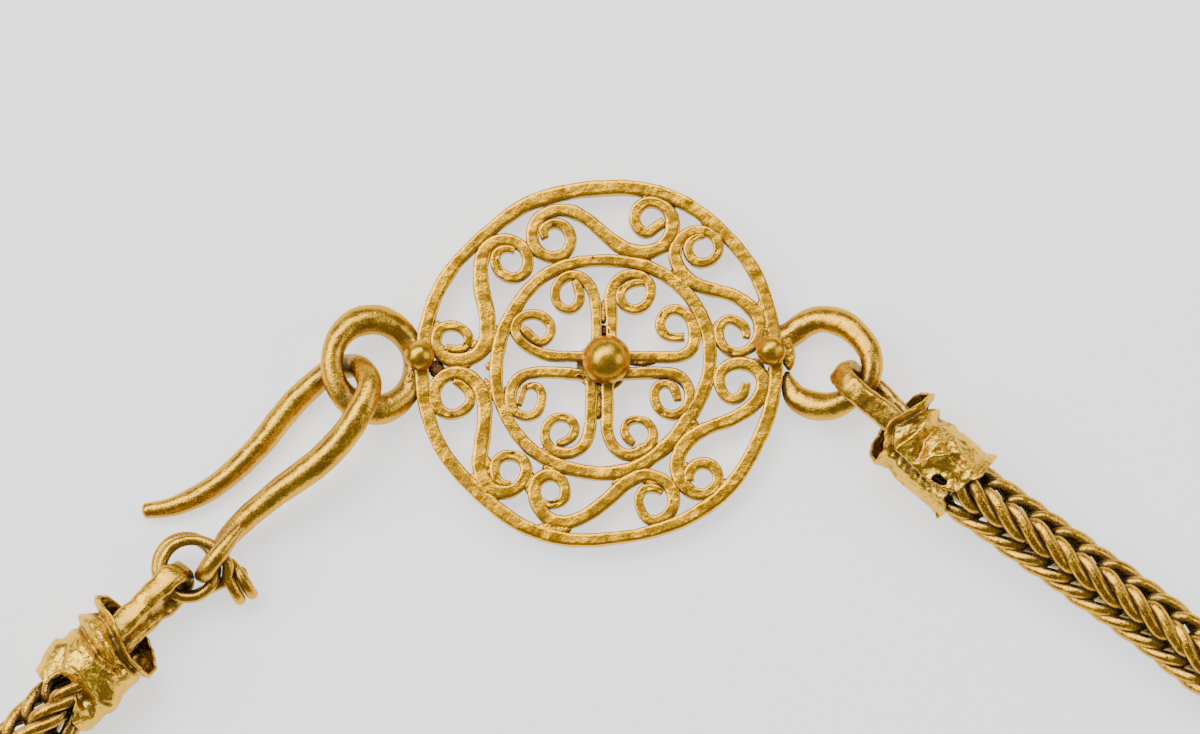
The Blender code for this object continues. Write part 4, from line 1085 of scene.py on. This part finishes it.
RIMS = {
    "right": {
        "top": ((0, 0.00), (30, -0.02), (50, -0.035), (71, -0.07), (88, -0.10), (100, -0.135),
                (110, -0.13), (118, -0.09), (126, -0.03), (138, 0.03), (165, 0.04), (180, -0.02),
                (200, -0.09), (225, -0.14), (250, -0.18), (290, -0.16), (315, -0.155), (335, -0.12),
                (350, -0.06)),
        "mouth": ((0, 0.3), (40, 0.25), (75, -0.35), (110, -0.45), (135, 0.2), (180, 0.5), (270, 0.6)),
        "bottom": ((0, 0.99), (20, 1.0), (45, 1.0), (74, 1.02), (86, 0.99), (93, 0.95), (104, 0.94),
                   (116, 0.92), (127, 0.86), (137, 0.87), (144, 0.975), (158, 0.98), (170, 0.90),
                   (180, 0.965), (270, 0.97)),
    },
    "left": {
        "top": ((0, 0.16), (20, 0.195), (40, 0.195), (57, 0.19), (71, 0.145), (85, 0.07), (95, 0.02),
                (105, -0.04), (120, -0.055), (135, -0.075), (165, -0.05), (180, -0.08), (190, -0.13),
                (215, -0.18), (245, -0.19), (270, -0.17), (297, -0.127), (312, -0.073), (325, -0.02),
                (340, 0.04), (350, 0.12)),
        "mouth": ((0, 0.6), (40, 0.3), (70, -0.2), (110, -0.1), (140, 0.3), (180, 0.6), (270, 0.6)),
        "bottom": ((0, 1.10), (25, 1.14), (45, 1.13), (58, 1.04), (66, 0.92), (78, 0.84), (95, 0.80),
                   (108, 0.81), (114, 0.90), (122, 1.02), (135, 1.0), (160, 0.98), (180, 0.97), (225, 1.0),
                   (270, 1.0), (315, 1.05)),
    },
}


def sleeve_axis(side):
    """The start and end of a sleeve's axis, whose flared mouth just clears the table."""
    mouth, bearing = SLEEVES[side]
    start = Vector((*mouth, SLEEVE_RADIUS + SLEEVE_FLARE + SLEEVE_FOLD))
    return start, start + Vector((*at(bearing, SLEEVE_LENGTH), -SLEEVE_DROP))


def table_value(table, key):
    """A value that goes smoothly from one (key, value) pair of a table to the next."""
    for (start, low), (end, high) in zip(table, table[1:]):
        if key <= end:
            share = min(1, max(0, (key - start) / (end - start)))
            return low + (high - low) * share * share * (3 - 2 * share)
    return table[-1][1]


def round_value(table, degrees):
    """The same for a table of bearings, which goes all the way round."""
    return table_value([*table, (table[0][0] + 360, table[0][1])], degrees % 360)


def sleeve_spot(side, share, degrees):
    """Where the sheet is at this share of the sleeve's length and this bearing round it."""
    start, end = sleeve_axis(side)
    along = (end - start).normalized()
    level = UP.cross(along).normalized()
    turn = math.radians(degrees)
    right, left = REACH[side]
    wide = table_value(right if math.cos(turn) > 0 else left, share) * PIXEL
    flare = round_value(RIMS[side]["mouth"], degrees) * MM * math.exp(-((share / SLEEVE_MOUTH) ** 2))
    sideways = level * math.cos(turn)
    upward = along.cross(level) * math.sin(turn)
    spot = start.lerp(end, share) + sideways * wide + upward * (SLEEVE_RADIUS + flare)
    return spot, sideways + upward


for side in SLEEVES:
    print(side, "mouth in mm:", [round(part / MM, 1) for part in sleeve_axis(side)[0]])

# %% [markdown]
# Then come the folds. They could be sculpted by hand, but a row of places says plainly where each one runs.
# Each is a line of places read off the photograph, with half its width in pixels and its height in
# millimetres, less than nothing for a crease. A vertex looks up where it would be in the photograph and
# moves outwards by the folds that pass near it there.

# %% Folds of the sleeves
Fold = namedtuple("Fold", "wide height places")

FOLDS = {
    "right": (
        Fold(3.0, 0.25, ((931, 397), (918, 405), (908, 411), (900, 416), (892, 420), (887, 426),
                         (885, 434), (884, 448))),
        Fold(3.2, -0.32, ((931, 403), (920, 410), (912, 416), (900, 422), (893, 425), (890, 430),
                          (889, 438), (889, 452))),
        Fold(4.5, 0.30, ((937, 411), (927, 417), (921, 426), (914, 434), (905, 440), (900, 445))),
        Fold(3.6, -0.32, ((940, 419), (935, 428), (928, 434), (922, 441), (920, 450), (916, 458))),
        Fold(4.5, 0.22, ((946, 436), (937, 444), (930, 451), (925, 458))),
        Fold(3.0, 0.24, ((922, 464), (926, 459), (933, 456), (942, 455), (949, 452))),
        Fold(7.5, -0.36, ((927, 468), (936, 470), (945, 474), (952, 482))),
        Fold(2.4, -0.40, ((893, 452), (902, 462), (912, 472), (921, 480), (930, 487), (940, 492),
                          (951, 494))),
        Fold(3.0, 0.16, ((896, 448), (906, 458), (916, 468), (925, 476), (935, 484), (947, 488))),
        Fold(2.6, -0.22, ((948, 438), (946, 447), (951, 455), (958, 461), (965, 470))),
        Fold(3.5, 0.16, ((955, 452), (963, 460), (970, 470))),
        Fold(2.4, -0.40, ((943, 423), (950, 423))),
        Fold(3.0, 0.18, ((993, 459), (984, 469), (977, 478))),
        Fold(4.0, -0.22, ((879, 458), (887, 464), (893, 472), (902, 481))),
        Fold(3.0, -0.15, ((983, 453), (979, 463), (972, 473))),
    ),
    "left": (
        Fold(2.6, 0.20, ((100, 597), (106, 604), (113, 612), (118, 619), (121, 629), (124, 640),
                         (128, 651), (134, 660), (142, 668))),
        Fold(3.2, -0.38, ((95, 609), (104, 617), (112, 627), (118, 640), (124, 652), (131, 661),
                          (138, 669))),
        Fold(4.5, 0.26, ((84, 616), (94, 622), (103, 632), (111, 644), (119, 656))),
        Fold(3.4, -0.40, ((82, 626), (90, 637), (97, 648), (105, 657), (115, 664), (126, 669))),
        Fold(5.0, 0.18, ((76, 634), (85, 646), (95, 657), (105, 666), (116, 672))),
        Fold(3.0, -0.18, ((67, 646), (65, 658), (62, 669))),
        Fold(6.0, 0.14, ((60, 646), (54, 656), (47, 666))),
        Fold(2.2, 0.22, ((75, 667), (82, 673), (89, 680))),
        Fold(2.2, 0.18, ((49, 684), (56, 675), (63, 670), (71, 670), (80, 675), (90, 682), (96, 691),
                         (99, 703))),
        Fold(7.0, -0.70, ((57, 685), (66, 680), (76, 684), (85, 691), (90, 702))),
        Fold(4.0, -0.16, ((101, 690), (106, 700), (104, 712))),
        Fold(5.0, 0.15, ((112, 684), (117, 692), (113, 703))),
    ),
}
FOLD_REACH = 3
HOLE = (937.5, 480, 7, 3.6, 25)


def pixel_of(point):
    """Where a point of the model is in the photograph."""
    down = point.y * math.sin(tilt) + (point.z - MEDALLION_TOP) * math.cos(tilt)
    return Vector((MEDALLION_PIXEL[0] + point.x / PIXEL, MEDALLION_PIXEL[1] - down / PIXEL))


def from_line(spot, places):
    """How far a place in the photograph is from a line of places."""
    nearest = math.inf
    for start, end in zip(places, places[1:]):
        first = Vector(start)
        way = Vector(end) - first
        share = min(1, max(0, (spot - first).dot(way) / way.length_squared))
        nearest = min(nearest, (spot - first - way * share).length)
    return nearest


def in_hole(spot):
    """Whether a place in the photograph is inside the torn hole of the right sleeve."""
    across, down, long, wide, turn = HOLE
    way = Vector((math.cos(math.radians(turn)), math.sin(math.radians(turn))))
    off = spot - Vector((across, down))
    ragged = 1 + 0.35 * noise.noise(Vector((*spot, 0)) / 3)
    return (off.dot(way) / long) ** 2 + (off.dot(Vector((-way.y, way.x))) / wide) ** 2 < ragged


print({side: len(folds) for side, folds in FOLDS.items()}, "folds")

# %% [markdown]
# The camera sees the upper half only, so only that half is folded. The small hole in the right sleeve comes
# from taking out the vertices inside it. Solidify then gives the sheet its thickness, so that the torn edge
# and the two rims look like metal and not like paper.

# %% The crumpled sheet
SLEEVE_SIDES = 150
SLEEVE_ROWS = 76
SLEEVE_DENTS = ((0.9 * MM, 0.09 * MM), (0.3 * MM, 0.06 * MM))


def make_sleeve(side, seed):
    """A tube of sheet gold over the end of the chain."""
    shape = bmesh.new()
    bmesh.ops.create_cone(shape, cap_ends=False, segments=SLEEVE_SIDES, radius1=1, radius2=1, depth=1)
    lengthwise = [edge for edge in shape.edges if abs(edge.verts[0].co.z - edge.verts[1].co.z) > 0.5]
    bmesh.ops.subdivide_edges(shape, edges=lengthwise, cuts=SLEEVE_ROWS)
    torn = []
    for vert in shape.verts:
        degrees = bearing_of(vert.co) % 360
        top = round_value(RIMS[side]["top"], degrees)
        bottom = round_value(RIMS[side]["bottom"], degrees)
        spot, outward = sleeve_spot(side, top + (bottom - top) * (vert.co.z + 0.5), degrees)
        if outward.z > -0.1:
            pixel = pixel_of(spot)
            if side == "right" and in_hole(pixel):
                torn.append(vert)
            for fold in FOLDS[side]:
                far = from_line(pixel, fold.places) / fold.wide
                if far < FOLD_REACH:
                    spot += outward * fold.height * MM * math.exp(-far * far)
        vert.co = spot
    bmesh.ops.delete(shape, geom=torn, context="VERTS")
    for later, (grain, depth) in enumerate(SLEEVE_DENTS):
        hammer(shape, grain, depth, seed + 2 * later)
    bmesh.ops.solidify(shape, geom=list(shape.faces), thickness=SLEEVE_WALL)
    name = f"{side}_sleeve"
    return finish_piece(shape, name, sheet_gold, "gold_sheet", name)


make_sleeve("left", seed=51)
make_sleeve("right", seed=61)

# %% [markdown]
# ## The strip eyes
#
# A flat strip is bent to a U round the wire it holds, and its two legs go into the sleeve. Its section is
# the worn rectangle again, made thicker along its middle and swept along a path that lies on its side.

# %% The strip eyes
CHAIN_START = 0.5
CHAIN_END_GAP = 0.45 * MM
EYE_PLAY = 0.5 * MM
EYE_SLACK = 0.05 * MM
EYE_ROOT = 0.65
EYE_STRIP = 1.65 * MM
EYE_THICKNESS = 0.6 * MM
EYE_WEAR = 0.26 * MM
EYE_CROWN = 0.6
EYE_NOSE = 0.92
EYE_DENTS = ((1.1 * MM, 0.14 * MM), (0.45 * MM, 0.06 * MM))
EYE_STOPS = 16
EYE_SIDE = 73
RIGHT_EYE_PIXEL = (860, 386.5)


def make_eye(side, held, held_radius, roll, seed):
    """A strip bent to a U round the wire that it holds, with both ends inside its sleeve."""
    start, end = sleeve_axis(side)
    inside = start.lerp(end, CHAIN_START) - (end - start).normalized() * CHAIN_END_GAP
    along = (held - inside).normalized()
    level = UP.cross(along).normalized()
    rise = along.cross(level)
    turned = math.radians(roll)
    apart = rise * math.cos(turned) + level * math.sin(turned)
    across = along.cross(apart)
    half = held_radius + EYE_PLAY + EYE_THICKNESS / 2
    bend = (held - inside).length + EYE_SLACK
    route = [(0, EYE_ROOT), (bend * 0.5, (1 + EYE_ROOT) / 2), (bend * 0.85, 0.97), (bend, 1)]
    for step in range(1, EYE_STOPS):
        turning = math.pi * step / EYE_STOPS
        route.append((bend + half * EYE_NOSE * math.sin(turning), math.cos(turning)))
    route += [(bend, -1), (bend * 0.85, -0.97), (bend * 0.5, -(1 + EYE_ROOT) / 2), (0, -EYE_ROOT)]
    spots = [inside + along * forward + apart * half * offset for forward, offset in route]
    spots = evenly(smooth_through([tuple(spot) for spot in spots], per_span=4), step=0.12 * MM)
    stops = []
    for index, spot in enumerate(spots):
        way = (spots[min(index + 1, len(spots) - 1)] - spots[max(index - 1, 0)]).normalized()
        turn = Matrix((across, way.cross(across), way)).transposed().to_4x4()
        stops.append(Matrix.Translation(spot) @ turn)
    shape = bmesh.new()
    ring = strip_section(shape, EYE_STRIP, EYE_THICKNESS, EYE_WEAR)
    for vert in shape.verts:
        vert.co.y *= 1 + EYE_CROWN * (1 - (2 * vert.co.x / EYE_STRIP) ** 2)
    sweep(shape, ring, stops)
    for grain, depth in EYE_DENTS:
        hammer(shape, grain, depth, seed)
    name = f"{side}_eye"
    return finish_piece(shape, name, wire_gold, "gold_wire", name)


wires = (link_point(EYE_SIDE) + link_point(EYE_SIDE + 360)) / 2
make_eye("left", wires, LINK_WIRE + link_pitch / 2, roll=15, seed=71)
make_eye("right", right_ring_spot(*RIGHT_EYE_PIXEL), RING_WIRE, roll=20, seed=72)

# %% [markdown]
# ## The chain
#
# A loop-in-loop chain has no links that hang in each other like a common chain's. Each wire loop is pinched
# to a long oval, folded to a U, and threaded through the bends of the two loops before it. From the outside
# it looks like a plait of four ridges. One folded loop is drawn here as a closed path, a quarter at a time,
# and mirrored to the other three quarters. Copies of it then follow the chain's route, one pitch apart,
# turned so that a ridge lies on top.

# %% One folded loop
CHAIN_PITCH = 1.9 * MM
CHAIN_WIRE = 0.42
CHAIN_SQUEEZE = 0.97
LOOP_QUARTER = (
    (0.0, 0.42, 0.0),
    (0.7, 0.42, 0.0),
    (1.2, 0.47, 0.2),
    (1.5, 0.7, 0.8),
    (1.45, 1.05, 1.5),
    (1.2, 1.3, 2.2),
    (0.82, 1.42, 3.0),
    (0.52, 1.33, 3.7),
    (0.42, 0.9, 4.3),
    (0.40, 0.0, 4.6),
)


def loop_path(steps):
    """The middle line of one folded loop, in millimetres: Z leads away from the right sleeve."""
    quarters = []
    for across, up, back in ((1, 1, False), (1, -1, True), (-1, -1, False), (-1, 1, True)):
        quarter = [(x * across * CHAIN_SQUEEZE, y * up * CHAIN_SQUEEZE, z) for x, y, z in LOOP_QUARTER]
        quarters += (quarter[::-1] if back else quarter)[:-1]
    line = smooth_through(quarters, per_span=6, closed=True)
    run = distances([*line, line[0]])[-1]
    points = evenly(line, run / steps, closed=True)
    return [(*point, CHAIN_WIRE) for point in points]


def loop_mesh(name, sides, steps):
    """One folded loop as a mesh, in millimetres."""
    shape = bmesh.new()
    sweep(shape, wire_ring(shape, sides), stops_along(loop_path(steps), closed=True), closed=True)
    bmesh.ops.recalc_face_normals(shape, faces=shape.faces)
    data = bpy.data.meshes.new(name)
    shape.to_mesh(data)
    shape.free()
    print(name, len(data.polygons), "faces")
    return data


fine_loop = loop_mesh("fine_loop", sides=12, steps=84)
plain_loop = loop_mesh("plain_loop", sides=5, steps=18)

# %% [markdown]
# The photograph shows the chain's two ends. The rest of it runs round below the picture. The loops that are
# seen from close by get many faces, and the others only a few dozen, because there are well over a hundred
# of them.

# %% The chain's route
CHAIN_RADIUS = 2.0 * MM
CHAIN_SLIP = 0.33 * MM
CHAIN_ROUTE = (
    (39.15, -19.3),
    (55.0, -33.1),
    (66.0, -52.0),
    (71.0, -74.0),
    (68.0, -98.0),
    (57.0, -119.0),
    (39.0, -134.0),
    (17.0, -142.0),
    (-8.0, -143.0),
    (-32.0, -136.0),
    (-52.0, -121.0),
    (-65.0, -100.0),
    (-69.0, -77.0),
    (-63.0, -54.0),
    (-49.8, -37.8),
)
right_start, right_end = sleeve_axis("right")
left_start, left_end = sleeve_axis("left")
right_slip = at(-133, 1.5 * CHAIN_SLIP).to_3d()
left_slip = at(-42, CHAIN_SLIP).to_3d()
route = [right_start.lerp(right_end, CHAIN_START) + right_slip, right_end + right_slip]
route += [Vector((x * MM, y * MM, CHAIN_RADIUS)) for x, y in CHAIN_ROUTE]
route += [left_end + left_slip, left_start.lerp(left_end, CHAIN_START) + left_slip]
route = smooth_through([tuple(point) for point in route], per_span=40)
route = [Vector((x, y, max(z, CHAIN_RADIUS))) for x, y, z in route]
chain_spots = evenly(route, CHAIN_PITCH)
print("chain:", len(chain_spots) - 1, "loops,", round(distances(route)[-1] / MM), "mm")

# %% [markdown]
# No two loops were bent quite alike, so each copy is rolled and shifted a little at random, from a fixed seed
# so that the chain comes out the same every time. The copies of one stretch are joined into one piece.

# %% Threading the loops
random.seed(5)
LOOP_ROLL = 4
LOOP_SHIFT = 0.04
VIEW_LOW = -27 * MM
HALFWAY_LOOP = 60


def loop_place(index):
    """Where one loop of the chain is: X and Y at 45 degrees to the table, Z along the chain."""
    spot = chain_spots[index]
    ahead = chain_spots[index + 1] - spot
    level = UP.cross(ahead).normalized()
    rise = ahead.normalized().cross(level)
    across = (level + rise).normalized()
    upward = (rise - level).normalized()
    turn = Matrix((across, upward, ahead.normalized())).transposed().to_4x4()
    roll = Matrix.Rotation(math.radians(random.uniform(-LOOP_ROLL, LOOP_ROLL)), 4, "Z")
    slip = Vector([random.uniform(-LOOP_SHIFT, LOOP_SHIFT) * MM for axis in "xyz"])
    return Matrix.Translation(spot + slip) @ turn @ roll @ Matrix.Scale(MM, 4)


def chain_piece(name, loops, data):
    """Copies of one loop, threaded at these places of the route."""
    shape = bmesh.new()
    for index in loops:
        threaded = len(shape.verts)
        shape.from_mesh(data)
        shape.verts.ensure_lookup_table()
        bmesh.ops.transform(shape, matrix=loop_place(index), verts=shape.verts[threaded:])
    return finish_piece(shape, name, chain_gold, "gold_chain", "chain")


last_loop = len(chain_spots) - 2
right_seen = [index for index in range(HALFWAY_LOOP) if chain_spots[index].y > VIEW_LOW]
left_seen = [index for index in range(HALFWAY_LOOP, last_loop) if chain_spots[index].y > VIEW_LOW]
unseen = [index for index in range(last_loop) if index not in right_seen and index not in left_seen]
chain_piece("chain_right_end", right_seen, fine_loop)
chain_piece("chain_left_end", left_seen, fine_loop)
chain_piece("chain_round_the_neck", unseen, plain_loop)
print(len(right_seen), "loops at the right end,", len(left_seen), "at the left,", len(unseen), "between")

# %% [markdown]
# ## Table and light
#
# The table is pale and plain. It glows a little, like a light table, because the photograph has hardly any
# shadow. Gold shows what is round it, so the lights are large and soft: one behind the necklace and one at
# the left, with a weaker one at the right, and a grey room in between.

# %% Table and light
FLOOR_HALF = 1.5
FLOOR_COLOUR = (0.6, 0.592, 0.6, 1)
FLOOR_GLOW = 1.17
ROOM_COLOUR = (0.86, 0.86, 0.88, 1)
ROOM_GLOW = 0.25

shape = bmesh.new()
bmesh.ops.create_grid(shape, x_segments=2, y_segments=2, size=FLOOR_HALF)
floor_data = bpy.data.meshes.new("table")
shape.to_mesh(floor_data)
shape.free()
table = Finish("pale table")
table.feed(table.shader, {"Base Color": FLOOR_COLOUR, "Roughness": 0.7})
table.feed(table.shader, {"Emission Color": (1, 0.99, 1, 1), "Emission Strength": FLOOR_GLOW})
floor_data.materials.append(table.material)
floor = bpy.data.objects.new("table", floor_data)
bpy.context.scene.collection.objects.link(floor)

LIGHTS = {
    "window behind": ((-0.15, 0.55, 0.85), 1.2, 0.6, 11.5),
    "window left": ((-0.72, 0.1, 0.72), 0.7, 0.7, 7.5),
    "window right": ((0.85, 0.0, 0.5), 0.5, 0.5, 2.2),
}
for name, (place, wide, tall, power) in LIGHTS.items():
    lamp = bpy.data.lights.new(name, "AREA")
    lamp.shape = "RECTANGLE"
    lamp.size = wide
    lamp.size_y = tall
    lamp.energy = power
    light = bpy.data.objects.new(name, lamp)
    bpy.context.scene.collection.objects.link(light)
    light.location = place
    light.rotation_euler = (Vector(place) * -1).to_track_quat("-Z", "Y").to_euler()

world = bpy.data.worlds.new("room")
bpy.context.scene.world = world
world.use_nodes = True
background = world.node_tree.nodes["Background"]
background.inputs["Color"].default_value = ROOM_COLOUR
background.inputs["Strength"].default_value = ROOM_GLOW
print("lights:", len(LIGHTS))
